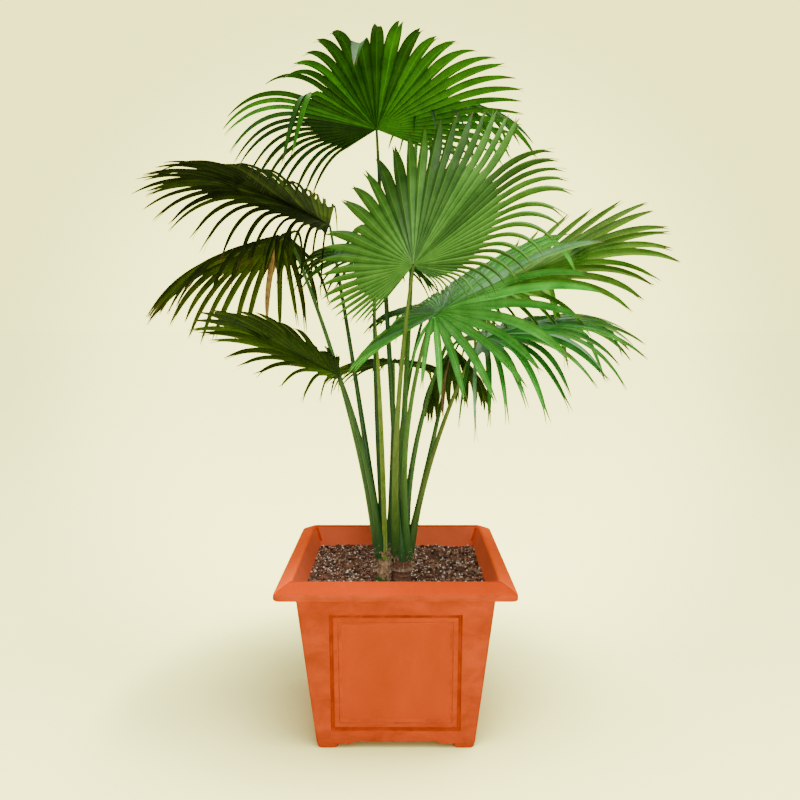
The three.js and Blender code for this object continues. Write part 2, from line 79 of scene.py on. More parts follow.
def new_mesh(name, bm):
    mesh = bpy.data.meshes.new(name)
    bm.to_mesh(mesh)
    bm.free()
    return mesh


def new_piece(mesh, *materials):
    """An object at the origin that holds a finished mesh and has its name."""
    piece = bpy.data.objects.new(mesh.name, mesh)
    bpy.context.scene.collection.objects.link(piece)
    for material in materials:
        mesh.materials.append(material)
    return piece


camera_tilt = 5.9
camera_data = bpy.data.cameras.new("camera")
camera_data.sensor_width = 36
camera_data.lens = 33.98
camera = bpy.data.objects.new("camera", camera_data)
camera.location = (0.0076, -1.451, 0.7745)
camera.rotation_euler = (math.radians(90 - camera_tilt), 0, 0)
bpy.context.scene.collection.objects.link(camera)
bpy.context.scene.camera = camera

surround_light = (1, 0.98, 0.9, 1)
surround_colour = (1.0, 1.0, 0.29, 1.0)
surround_seen = 2.95
# The surround and floor the camera sees are brighter towards the picture's middle: a painted pool of light.
middle_gain = 1.55
middle_aim = (0, 0.9947, -0.1028)
middle_span = (0.875, 0.97)
surround_low = 0.4
surround_rise = 0.95
floor_radius = 60.0
floor_tone = (0.8, 0.8, 0.32, 1.0)
floor_glow = 2.0
# The floor's glow is brighter near the camera: painted light.
foreground_gain = 0.7
foreground_span = (0.25, -0.3)
# The floor's glow is dimmed by occlusion leaning to the right and front: a painted shadow behind and left of
# the planter.
shade_reach = 0.46
shade_depth = 5.6
shade_lean = (0.34, -0.62, 0.70)
lamp_colour = (1.0, 0.98, 0.94)


def nearness(tree, direction):
    """How near a direction out from the camera's place is to the middle of the picture."""
    aim = add_node(tree, "CombineXYZ", dict(zip("XYZ", middle_aim))).outputs[0]
    along = add_node(tree, "VectorMath", {0: direction, 1: aim}, operation="DOT_PRODUCT")
    return ranged(tree, along.outputs["Value"], *middle_span, 0.0, 1.0, interpolation_type="SMOOTHSTEP")


def make_surround():
    world = bpy.data.worlds.new("surround")
    bpy.context.scene.world = world
    world.use_nodes = True
    tree = world.node_tree
    tree.nodes.clear()
    outwards = add_node(tree, "TexCoord").outputs["Generated"]
    high = worked(tree, "MAXIMUM", add_node(tree, "SeparateXYZ", {0: outwards}).outputs["Z"], 0.0)
    level = worked(tree, "MULTIPLY_ADD", high, surround_rise, surround_low)
    light = add_node(tree, "Background", {"Color": surround_light, "Strength": level})
    # Painted pool of light: the seen surround is brighter towards the picture's middle.
    bright = worked(tree, "MULTIPLY_ADD", nearness(tree, outwards), middle_gain, surround_seen)
    seen = add_node(tree, "Background", {"Color": surround_colour, "Strength": bright})
    path = add_node(tree, "LightPath").outputs["Is Camera Ray"]
    mix = add_node(tree, "MixShader", {0: path, 1: light.outputs[0], 2: seen.outputs[0]})
    add_node(tree, "OutputWorld", {0: mix.outputs[0]})


def make_floor():
    bm = bmesh.new()
    bmesh.ops.create_circle(bm, cap_ends=True, segments=96, radius=floor_radius)
    material, tree = new_material("pale_floor")
    # Painted shadow: the glow is dimmed where the leaning occlusion finds the planter.
    lean = add_node(tree, "CombineXYZ", dict(zip("XYZ", shade_lean))).outputs[0]
    shade = add_node(tree, "AmbientOcclusion", {"Distance": shade_reach, "Normal": lean}, samples=8)
    open_sky = worked(tree, "POWER", shade.outputs["AO"], shade_depth)
    place = add_node(tree, "TexCoord").outputs["Object"]
    away = add_node(tree, "VectorMath", {0: place, 1: camera.location}, operation="SUBTRACT").outputs[0]
    outwards = add_node(tree, "VectorMath", {0: away}, operation="NORMALIZE").outputs[0]
    # Painted light: brighter towards the picture's middle and near the camera.
    bright = worked(tree, "MULTIPLY_ADD", nearness(tree, outwards), middle_gain, floor_glow)
    back = add_node(tree, "SeparateXYZ", {0: place}).outputs["Y"]
    lifted = worked(tree, "ADD", bright, ranged(tree, back, *foreground_span, 0.0, foreground_gain))
    path = add_node(tree, "LightPath").outputs["Is Camera Ray"]
    seen = worked(tree, "MULTIPLY", path, worked(tree, "MULTIPLY", open_sky, lifted))
    surface = add_node(tree, "BsdfDiffuse", {"Color": floor_tone})
    glow = add_node(tree, "Emission", {"Color": surround_colour, "Strength": seen})
    both = add_node(tree, "AddShader", {0: surface.outputs[0], 1: glow.outputs[0]})
    add_node(tree, "OutputMaterial", {0: both.outputs[0]})
    new_piece(new_mesh("floor", bm), material)


def make_lamp(name, place, aim, size, watts):
    data = bpy.data.lights.new(name, "AREA")
    data.shape = "DISK"
    data.size = size
    data.energy = watts
    data.color = lamp_colour
    lamp = bpy.data.objects.new(name, data)
    lamp.location = place
    direction = Vector(aim) - Vector(place)
    lamp.rotation_euler = direction.to_track_quat("-Z", "Y").to_euler()
    bpy.context.scene.collection.objects.link(lamp)


make_surround()
make_floor()
make_lamp("top_lamp", (0.2, -0.5, 4.3), (0, 0, 0.4), 2.4, 255)
make_lamp("key_lamp", (0.6, -3.2, 1.5), (0, 0, 0.5), 1.1, 34)


# ---------------- the planter
# A square planter moulded in one piece from matte terracotta-coloured plastic: leaning walls,
# a sunk panel with a stepped frame in each, a sloping lip, an arched skirt and corner feet.
rim_half = 0.210
lip_under = 0.300
lip_edge_round = 0.004
shoulder_round = 0.0088
shoulder_height = 0.3086
shoulder_turn = 62
lip_crest_round = 0.0044
lip_crest_half = 0.1836
lip_crest_height = 0.3232
body_foot_half = 0.1455
body_top_half = 0.177
skirt_foot = 0.009
skirt_rise = 0.0045
skirt_flat = 0.075
skirt_slope = 0.081
skirt_band = 0.022
skirt_reach = 0.0185
wall_thickness = 0.008
cavity_floor = 0.019
inner_bend = 0.296
corner_round = 0.009
panel_half = 0.1175
panel_foot = 0.0346
panel_top = 0.2634
# The frame round a panel in steps from outside in: how broad each is, and how far out it goes.
panel_steps = [
    (0.0018, -0.0056), (0.0022, 0.0), (0.0030, 0.0030), (0.0076, 0.0006), (0.0018, -0.0012),
    (0.0050, -0.0026),
]
shaded_step_widest = 0.004
foot_half = 0.020
foot_height = 0.012
foot_place = 0.1245
foot_corner_round = 0.010
foot_edge_round = 0.004

# The plastic's tones, in the order of the slots: name, darkest and lightest colour, how fine its
# clouds are, how tall beside their width, and their contrast.
wall_slot, panel_slot, lit_lip_side_slot, lit_inside_slot, shaded_groove_slot, shaded_lip_front_slot = range(6)
plastic_tones = [
    ("terracotta_plastic", (0.42, 0.056, 0.012), (0.70, 0.094, 0.020), 15.0, 0.6, 2.4),
    ("terracotta_panel", (0.50, 0.064, 0.010), (0.67, 0.086, 0.014), 9.0, 1.6, 1.8),
    # A lighter copy for the lip's left and right slopes: painted light.
    ("terracotta_side_lip_painted_light", (0.92, 0.112, 0.014), (1.0, 0.138, 0.020), 12.0, 1.0, 1.8),
    # A lighter, paler copy for the cavity's walls: painted light.
    ("terracotta_inside_painted_light", (0.72, 0.130, 0.048), (0.92, 0.165, 0.06), 9.0, 1.0, 1.8),
    # A darker copy for the frame's narrow steps: painted shade in the grooves.
    ("terracotta_groove_painted_shade", (0.38, 0.047, 0.008), (0.60, 0.077, 0.012), 30.0, 1.0, 2.4),
    # A darker copy for the lip's front and back slopes: painted shade.
    ("terracotta_front_lip_painted_shade", (0.54, 0.052, 0.003), (0.70, 0.068, 0.004), 12.0, 1.0, 1.8),
]


def arc(centre_out, centre_up, radius, start, stop, steps):
    """Stations of an outline on an arc, in degrees from outwards."""
    angles = [math.radians(start + (stop - start) * i / steps) for i in range(steps + 1)]
    return [(centre_out + radius * math.cos(a), centre_up + radius * math.sin(a)) for a in angles]


def wall_half(height):
    """Half the body's width at a height."""
    share = (height - skirt_foot) / (lip_under - skirt_foot)
    return body_foot_half + (body_top_half - body_foot_half) * share


def round_off(bm, geom, offset, segments, affect="EDGES"):
    bmesh.ops.bevel(
        bm, geom=geom, offset=offset, offset_type="OFFSET", affect=affect, segments=segments,
        profile=0.5, material=-1,
    )


def extrude(bm, ring):
    """Draws a ring of edges out, and returns the new ring's edges and corners."""
    made = bmesh.ops.extrude_edge_only(bm, edges=ring)["geom"]
    edges = [item for item in made if isinstance(item, bmesh.types.BMEdge)]
    return edges, [item for item in made if isinstance(item, bmesh.types.BMVert)]


def raise_walls(bm):
    """Draws the outline up from the base, over the lip and down to the cavity's floor."""
    bmesh.ops.create_grid(bm, x_segments=1, y_segments=1, size=body_foot_half)
    bmesh.ops.translate(bm, verts=bm.verts, vec=(0, 0, skirt_foot))
    round_off(bm, bm.verts[:], corner_round, 5, affect="VERTICES")
    outline = [(body_foot_half, skirt_foot), (body_top_half, lip_under)]
    outline += arc(rim_half - lip_edge_round, lip_under + lip_edge_round, lip_edge_round, -90, 0, 4)
    outline += arc(rim_half - shoulder_round, shoulder_height, shoulder_round, 0, shoulder_turn, 5)
    outline += arc(lip_crest_half, lip_crest_height, lip_crest_round, shoulder_turn, 180, 6)
    outline += [(body_top_half - wall_thickness, inner_bend)]
    outline += [(wall_half(cavity_floor) - wall_thickness, cavity_floor)]
    ring = [edge for edge in bm.edges if edge.is_boundary]
    for (half, height), (next_half, next_height) in zip(outline, outline[1:]):
        ring, verts = extrude(bm, ring)
        for vert in verts:
            vert.co.x += (next_half - half) * math.copysign(1, vert.co.x)
            vert.co.y += (next_half - half) * math.copysign(1, vert.co.y)
            vert.co.z += next_height - height
    bmesh.ops.edgeloop_fill(bm, edges=ring)


def cut(bm, faces, point, normal):
    """Cuts some faces along a plane."""
    parts = dict.fromkeys(part for face in faces for part in (face, *face.edges, *face.verts))
    bmesh.ops.bisect_plane(bm, geom=list(parts), plane_co=point, plane_no=normal, dist=1e-6)


def is_outer(face):
    """True on the outside of the body's walls, not on the lip or inside the cavity."""
    middle = face.calc_center_median()
    reach = max(abs(middle.x), abs(middle.y))
    outwards = middle.x * face.normal.x + middle.y * face.normal.y
    return outwards > 0 and reach > wall_half(middle.z) - 0.004 and middle.z < lip_under


def is_inner(face):
    """True on the cavity's walls and on the lip's inner edge."""
    middle = face.calc_center_median()
    outwards = middle.x * face.normal.x + middle.y * face.normal.y
    return outwards < 0 and middle.z > cavity_floor + 0.001


def wall_faces(bm, low, high):
    """The faces on the outside of the walls between two heights."""
    faces = [face for face in bm.faces if low < face.calc_center_median().z < high]
    return [face for face in faces if abs(face.normal.z) < 0.5 and is_outer(face)]


def sink_panels(bm):
    """Cuts a panel out of each wall and sets it back in small steps."""
    for height in (skirt_band, panel_foot, panel_top):
        cut(bm, wall_faces(bm, skirt_foot, lip_under), (0, 0, height), (0, 0, 1))
    for axis in (0, 1):
        plane = Matrix.Identity(3)[axis]
        for side in (-1, 1):
            band = wall_faces(bm, panel_foot, panel_top)
            band = [face for face in band if abs(face.normal[1 - axis]) > 0.9]
            cut(bm, band, plane * side * panel_half, plane)
    panels = []
    for face in wall_faces(bm, panel_foot, panel_top):
        middle = face.calc_center_median()
        flat = max(abs(face.normal.x), abs(face.normal.y)) > 0.9
        if flat and min(abs(middle.x), abs(middle.y)) < 0.01:
            panels.append(face)
    for thickness, depth in panel_steps:
        made = bmesh.ops.inset_individual(
            bm, faces=panels, thickness=thickness, depth=depth, use_even_offset=True
        )
        # The frame's narrow steps take the darker copy: painted shade.
        for face in made["faces"]:
            face.material_index = shaded_groove_slot if thickness < shaded_step_widest else wall_slot
    for face in panels:
        face.material_index = panel_slot


def arch_skirt(bm):
    """Lifts the middle of the skirt and of the base between the feet."""
    for axis in (0, 1):
        plane = Matrix.Identity(3)[axis]
        for reach in (-skirt_slope, -skirt_flat, skirt_flat, skirt_slope):
            low = [face for face in bm.faces if face.calc_center_median().z < skirt_reach]
            low = [face for face in low if face.normal.z < -0.5 or is_outer(face)]
            cut(bm, [face for face in low if abs(face.normal[axis]) < 0.9], plane * reach, plane)
    for vert in bm.verts:
        near = min(abs(vert.co.x), abs(vert.co.y)) < skirt_flat + 0.001
        if near and abs(vert.co.z - skirt_foot) < 0.001:
            vert.co.z += skirt_rise


def add_feet(bm):
    """A square foot with softened edges under each corner."""
    for x in (-foot_place, foot_place):
        for y in (-foot_place, foot_place):
            shape = Matrix.Diagonal((2 * foot_half, 2 * foot_half, foot_height, 1))
            shape = Matrix.Translation((x, y, foot_height / 2)) @ shape
            corners = bmesh.ops.create_cube(bm, size=1, matrix=shape)["verts"]
            edges = dict.fromkeys(edge for vert in corners for edge in vert.link_edges)
            upright = [edge for edge in edges if abs(edge.verts[0].co.z - edge.verts[1].co.z) > 0.001]
            round_off(bm, upright, foot_corner_round, 4)
            low = [edge for edge in bm.edges if all(vert.co.z < 0.0001 for vert in edge.verts)]
            low = [edge for edge in low if (edge.verts[0].co - Vector((x, y, 0))).length < 0.03]
            round_off(bm, low, foot_edge_round, 3)


def new_group(name, numbers, colours):
    """A node group that sends on a colour and a height: its tree and what is given to it."""
    tree = bpy.data.node_groups.new(name, "ShaderNodeTree")
    sockets = [("INPUT", "Float", number) for number in numbers]
    sockets += [("INPUT", "Color", colour) for colour in colours]
    sockets += [("OUTPUT", "Color", "Color"), ("OUTPUT", "Float", "Height")]
    for way, kind, socket in sockets:
        tree.interface.new_socket(socket, in_out=way, socket_type="NodeSocket" + kind)
    return tree, add_node(tree, "NodeGroupInput").outputs


def scaled(tree, colour, gain):
    return add_node(tree, "VectorMath", {0: colour, 3: gain}, operation="SCALE").outputs[0]


def blend(tree, share, first, second):
    return add_node(tree, "Mix", {0: share, 6: first, 7: second}, data_type="RGBA").outputs[2]


def cloudy_group():
    """Two colours in soft clouds, with a fine grain: for moulded plastic, leaves and bark."""
    tree, given = new_group("cloudy", ("Scale", "Stretch", "Grain", "Contrast"), ("Dark", "Light"))
    place = add_node(tree, "TexCoord").outputs["Object"]
    tall = worked(tree, "DIVIDE", given["Scale"], given["Stretch"])
    size = add_node(tree, "CombineXYZ", {"X": given["Scale"], "Y": given["Scale"], "Z": tall}).outputs[0]
    spot = add_node(tree, "VectorMath", {0: place, 1: size}, operation="MULTIPLY").outputs[0]
    soft = {"Scale": 1.0, "Detail": 4.0, "Roughness": 0.6, "Distortion": 0.4}
    cloud = add_node(tree, "TexNoise", {"Vector": spot, **soft}).outputs[0]
    fine = add_node(tree, "TexNoise", {"Vector": place, "Scale": given["Grain"], "Detail": 3.0}).outputs[0]
    centred = worked(tree, "ADD", cloud, -0.5)
    strong = worked(tree, "MULTIPLY_ADD", centred, given["Contrast"], 0.5, use_clamp=True)
    mixed = blend(tree, strong, given["Dark"], given["Light"])
    toned = scaled(tree, mixed, ranged(tree, fine, 0.3, 0.7, 0.94, 1.06))
    add_node(tree, "NodeGroupOutput", {"Color": toned, "Height": fine})
    return tree


cloudy = cloudy_group()


def add_clouds(tree, dark, light, scale, stretch, grain, contrast):
    """The clouds' colour and the height of their grain."""
    values = {"Scale": scale, "Stretch": stretch, "Grain": grain, "Contrast": contrast}
    shades = {"Dark": (*dark, 1), "Light": (*light, 1)}
    return add_node(tree, "Group", {**values, **shades}, node_tree=cloudy).outputs


def add_surface(tree, colour, height, strength, distance, roughness, shine, **coat):
    """A shader with a fine relief of some strength and distance, as the material's output."""
    bump = add_node(tree, "Bump", {"Strength": strength, "Distance": distance, "Height": height})
    inputs = {"Base Color": colour, "Roughness": roughness, "Specular IOR Level": shine, **coat}
    shader = add_node(tree, "BsdfPrincipled", {**inputs, "Normal": bump.outputs[0]})
    add_node(tree, "OutputMaterial", {0: shader.outputs[0]})


def terracotta_plastic(name, dark, light, scale, stretch, contrast):
    material, tree = new_material(name)
    colour, height = add_clouds(tree, dark, light, scale, stretch, 700.0, contrast)
    add_surface(tree, colour, height, 0.16, 0.0004, ranged(tree, height, 0.3, 0.7, 0.5, 0.66), 0.0)
    return material


def shade_by_angle(mesh, degrees):
    """Smooth shading that stays crisp where faces meet at more than an angle."""
    mesh.shade_smooth()
    mesh.set_sharp_from_angle(angle=math.radians(degrees))
    return mesh


def make_planter():
    bm = bmesh.new()
    raise_walls(bm)
    bmesh.ops.recalc_face_normals(bm, faces=bm.faces)
    sink_panels(bm)
    arch_skirt(bm)
    add_feet(bm)
    for face in bm.faces:
        middle = face.calc_center_median()
        if middle.z > lip_under and face.normal.z > 0.4:
            # Painted light on the lip's left and right slopes, painted shade on its front and back slopes.
            face.material_index = lit_lip_side_slot if abs(middle.x) > abs(middle.y) else shaded_lip_front_slot
        elif face.material_index == wall_slot and not is_outer(face) and is_inner(face):
            # The cavity's walls take painted light.
            face.material_index = lit_inside_slot
    mesh = shade_by_angle(new_mesh("planter_body", bm), 30)
    piece = new_piece(mesh, *[terracotta_plastic(*tone) for tone in plastic_tones])
    softened = piece.modifiers.new("soft_edges", "BEVEL")
    softened.width = 0.0006
    softened.segments = 2
    softened.limit_method = "ANGLE"
    softened.angle_limit = math.radians(28)
    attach(piece, "root")
    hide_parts("planter")


make_planter()


# ---------------- the potting mix
# Dark bark and peat with white perlite, raked up to a low bank along the walls and pressed
# into a hollow round the stems. The bed is one crumbly sheet with loose crumbs lying on it.
soil_edge_height = 0.285
soil_bank_height = 0.281
soil_middle_height = 0.274
soil_hollow = 0.060
soil_slope_share = 0.8
soil_bank_share = 0.2
soil_lumps = [(0.0038, 45), (0.0026, 130), (0.0014, 330)]
bed_half = 0.1735
bed_margin = 0.006
bed_cells = 150
bed_skirt_spread = 1.022
bed_skirt_drop = 0.012
dark_hollow_middle = (-0.006, -0.02)
dark_hollow_reach = (0.03, 0.06)
patch_contrast = 1.6
patch_fineness = 30
crumb_count = 3400
crumb_sizes = (0.0012, 0.0056)
perlite_count = 1500
perlite_sizes = (0.0009, 0.0027)
soil_random = random.Random(5)
stem_spots = [(-0.023, -0.020, 0.0145), (0.0115, -0.020, 0.0195)]


def soil_height(x, y):
    """Height of the bed: a bank at the walls, a slope and the hollow round the stems."""
    wall = wall_half(soil_edge_height) - wall_thickness
    out = max(abs(x), abs(y))
    if out < soil_hollow:
        level = soil_middle_height
    elif out < soil_slope_share * wall:
        share = (out - soil_hollow) / (soil_slope_share * wall - soil_hollow)
        level = soil_middle_height + (soil_bank_height - soil_middle_height) * share
    else:
        share = min((out - soil_slope_share * wall) / (soil_bank_share * wall), 1)
        level = soil_bank_height + (soil_edge_height - soil_bank_height) * share
    spot = Vector((x, y, 0.3))
    return level + sum(size * noise.noise(spot * fineness) for size, fineness in soil_lumps)


def rough_material(name, dark, light, roughness, clouds=(420.0, 1.0, 2600.0), relief=(0.5, 0.0006)):
    """Peat, perlite or bark, with clouds of a scale, stretch and grain."""
    material, tree = new_material(name)
    colour, height = add_clouds(tree, dark, light, *clouds, 3.0)
    add_surface(tree, colour, height, *relief, roughness, 0.25)
    return material


def make_bed():
    bm = bmesh.new()
    bmesh.ops.create_grid(bm, x_segments=bed_cells, y_segments=bed_cells, size=bed_half - bed_margin)
    for vert in bm.verts:
        vert.co.z = soil_height(vert.co.x, vert.co.y)
    skirt = extrude(bm, [edge for edge in bm.edges if edge.is_boundary])[1]
    for vert in skirt:
        vert.co.x *= bed_skirt_spread
        vert.co.y *= bed_skirt_spread
        vert.co.z = soil_edge_height - bed_skirt_drop
    bmesh.ops.edgeloop_fill(bm, edges=[edge for edge in bm.edges if edge.is_boundary])
    bmesh.ops.recalc_face_normals(bm, faces=bm.faces)
    mesh = shade_by_angle(new_mesh("potting_bed", bm), 50)
    material = rough_material("damp_peat", (0.024, 0.011, 0.006), (0.17, 0.076, 0.042), 0.95)
    piece = new_piece(mesh, material)
    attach(piece, "root")
    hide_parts("potting_soil")


def crumb_shape():
    """A small lump of twenty faces."""
    bm = bmesh.new()
    bmesh.ops.create_icosphere(bm, subdivisions=1, radius=1)
    points = np.array([vert.co[:] for vert in bm.verts])
    faces = np.array([[vert.index for vert in face.verts] for face in bm.faces])
    bm.free()
    return points, faces


def scatter(name, count, sizes, flatness, materials, patchy):
    """Many lumps in one mesh, each turned and stretched its own way, lying on the bed. They lie in
    patches, and few but the darkest lie in the hollow round the stems."""
    draw = soil_random
    points, faces = crumb_shape()
    vertices = []
    triangles = []
    tones = []
    while len(tones) < count * len(faces):
        x = draw.uniform(-1, 1) * (bed_half - bed_margin)
        y = draw.uniform(-1, 1) * (bed_half - bed_margin)
        if any(math.hypot(x - sx, y - sy) < radius for sx, sy, radius in stem_spots):
            continue
        in_dark_hollow = math.hypot(x - dark_hollow_middle[0], y - dark_hollow_middle[1]) < draw.uniform(*dark_hollow_reach)
        bare = 0.5 - patch_contrast * noise.noise(Vector((x, y, 1)) * patch_fineness)
        if draw.random() > 1 - patchy * bare - patchy * in_dark_hollow:
            continue
        radius = sizes[0] + (sizes[1] - sizes[0]) * draw.random() ** 2.2
        stretch = (1, draw.uniform(0.45, 0.95), draw.uniform(*flatness))
        turn = Matrix.Rotation(draw.uniform(0, math.tau), 3, "Z")
        turn = turn @ Matrix.Rotation(draw.uniform(-0.5, 0.5), 3, "X")
        shape = points * np.array([[draw.uniform(0.8, 1.2)] for _ in points]) * stretch * radius
        place = (x, y, soil_height(x, y) + radius * stretch[2] * draw.uniform(0.1, 0.6))
        triangles.append(faces + len(vertices) * len(points))
        vertices.append(shape @ np.array(turn).T + place)
        tones += [0 if in_dark_hollow else draw.randrange(len(materials))] * len(faces)
    mesh = bpy.data.meshes.new(name)
    mesh.from_pydata(np.concatenate(vertices).tolist(), [], np.concatenate(triangles).tolist())
    piece = new_piece(mesh, *materials)
    mesh.polygons.foreach_set("material_index", tones)
    mesh.update()
    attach(piece, "root")
    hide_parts("potting_soil")


make_bed()
bark_tones = [
    rough_material("bark_black", (0.014, 0.006, 0.003), (0.05, 0.022, 0.011), 0.9),
    rough_material("bark_brown", (0.11, 0.050, 0.028), (0.32, 0.15, 0.085), 0.85),
    rough_material("bark_red", (0.15, 0.060, 0.032), (0.36, 0.155, 0.086), 0.85),
    rough_material("bark_grey", (0.16, 0.095, 0.056), (0.44, 0.30, 0.19), 0.9),
]
perlite_tones = [
    rough_material("perlite_white", (1.0, 0.96, 0.88), (1.0, 1.0, 0.98), 0.8),
    rough_material("perlite_cream", (0.70, 0.52, 0.34), (0.95, 0.80, 0.60), 0.85),
]
scatter("bark_crumbs", crumb_count, crumb_sizes, (0.3, 0.7), bark_tones, patchy=0.2)
scatter("perlite_grains", perlite_count, perlite_sizes, (0.7, 1.0), perlite_tones, patchy=0.6)


# ---------------- the stems
# Two short stems side by side: rings of old leaf bases, bark-brown below and wrapped in torn
# papery sheaths and fibres above, with a few green shoots at the foot of the left one.
stem_foot_height = 0.2743
stems = {
    "left": {"x": -0.023, "y": -0.020, "foot": 0.0145, "top": 0.0135, "height": 0.062, "ring": 0.0125},
    "right": {"x": 0.0115, "y": -0.020, "foot": 0.0195, "top": 0.0185, "height": 0.060, "ring": 0.0155},
}
stem_steps = 44
stem_skin = 0.96
stem_ring_gap = 0.0085
stem_random = random.Random(12)


def stem_radius(stem, share):
    """The stem's radius at a share of its height, with the swell of each old leaf base."""
    shares = [0, 0.22, 0.42, 0.66, 0.86, 1]
    foot, top = stem["foot"], stem["top"]
    radii = [foot, 0.92 * foot, foot, 0.94 * top, top, 0.97 * top]
    return float(np.interp(share, shares, radii))


def bark_material(name, dark, light, scale, stretch, roughness):
    return rough_material(name, dark, light, roughness, (scale, stretch, 1500.0), (0.6, 0.0008))


def make_stem(side, stem):
    """A turned profile with a relief of rings and splits."""
    bm = bmesh.new()
    shares = [step / stem_steps for step in range(stem_steps + 1)]
    profile = [(stem_radius(stem, share) * stem_skin, 0, share * stem["height"]) for share in shares]
    profile = [bm.verts.new(point) for point in profile]
    profile.insert(0, bm.verts.new((0, 0, -0.001)))
    profile.append(bm.verts.new((0, 0, stem["height"] - 0.002)))
    edges = [bm.edges.new(pair) for pair in zip(profile, profile[1:])]
    bmesh.ops.spin(
        bm, geom=profile + edges, cent=(0, 0, 0), axis=(0, 0, 1), angle=math.tau, steps=64, use_merge=True
    )
    bmesh.ops.remove_doubles(bm, verts=bm.verts, dist=1e-6)
    for vert in bm.verts:
        out = Vector((vert.co.x, vert.co.y, 0))
        if out.length < 0.002:
            continue
        spot = Vector((vert.co.x * 60, vert.co.y * 60, vert.co.z * 260))
        ridges = 0.0011 * noise.noise(spot) + 0.0006 * noise.noise(spot * 3.1)
        ring = 0.0007 * math.sin(vert.co.z / stem_ring_gap * math.tau + 2.5 * noise.noise(out * 40))
        vert.co += out.normalized() * (ridges + ring)
    bmesh.ops.translate(bm, verts=bm.verts, vec=(stem["x"], stem["y"], stem_foot_height))
    bmesh.ops.recalc_face_normals(bm, faces=bm.faces)
    mesh = shade_by_angle(new_mesh(side + "_stem_bark", bm), 45)
    piece = new_piece(mesh, stem_barks[side])
    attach(piece, "root")
    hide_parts(side + "_stem")


stem_barks = {
    "left": bark_material("papery_bark", (0.16, 0.085, 0.04), (0.5, 0.36, 0.22), 260.0, 4.0, 0.9),
    "right": bark_material("ringed_bark", (0.07, 0.033, 0.017), (0.26, 0.14, 0.08), 240.0, 0.35, 0.9),
}
for side, stem in stems.items():
    make_stem(side, stem)


# ---------------- the stalks
# Each leaf stands on a smooth waxy stalk with a shallow groove, broad where it clasps the
# stem and slim under the blade. Some are deep green, others mid green, olive or yellow-green.
stalk_sides = 12
stalk_steps = 44
stalk_radii = [(0, 0.0098), (0.06, 0.0086), (0.2, 0.0064), (0.5, 0.0047), (0.9, 0.0032), (1, 0.0024)]
stalk_sunk = 0.018
stalk_foot_share = 0.8
stalk_gap = 0.0003
stalk_groove = 0.25
costa_share = 0.05
costa_steps = 9
costa_sides = 8
costa_radius = 0.0019
costa_taper = 0.85
costa_sunk = 0.0016
rib_steps = 20
fold_softness = math.sqrt(0.02)
steady_against_sag = 0.7
sag_growth = 1.4

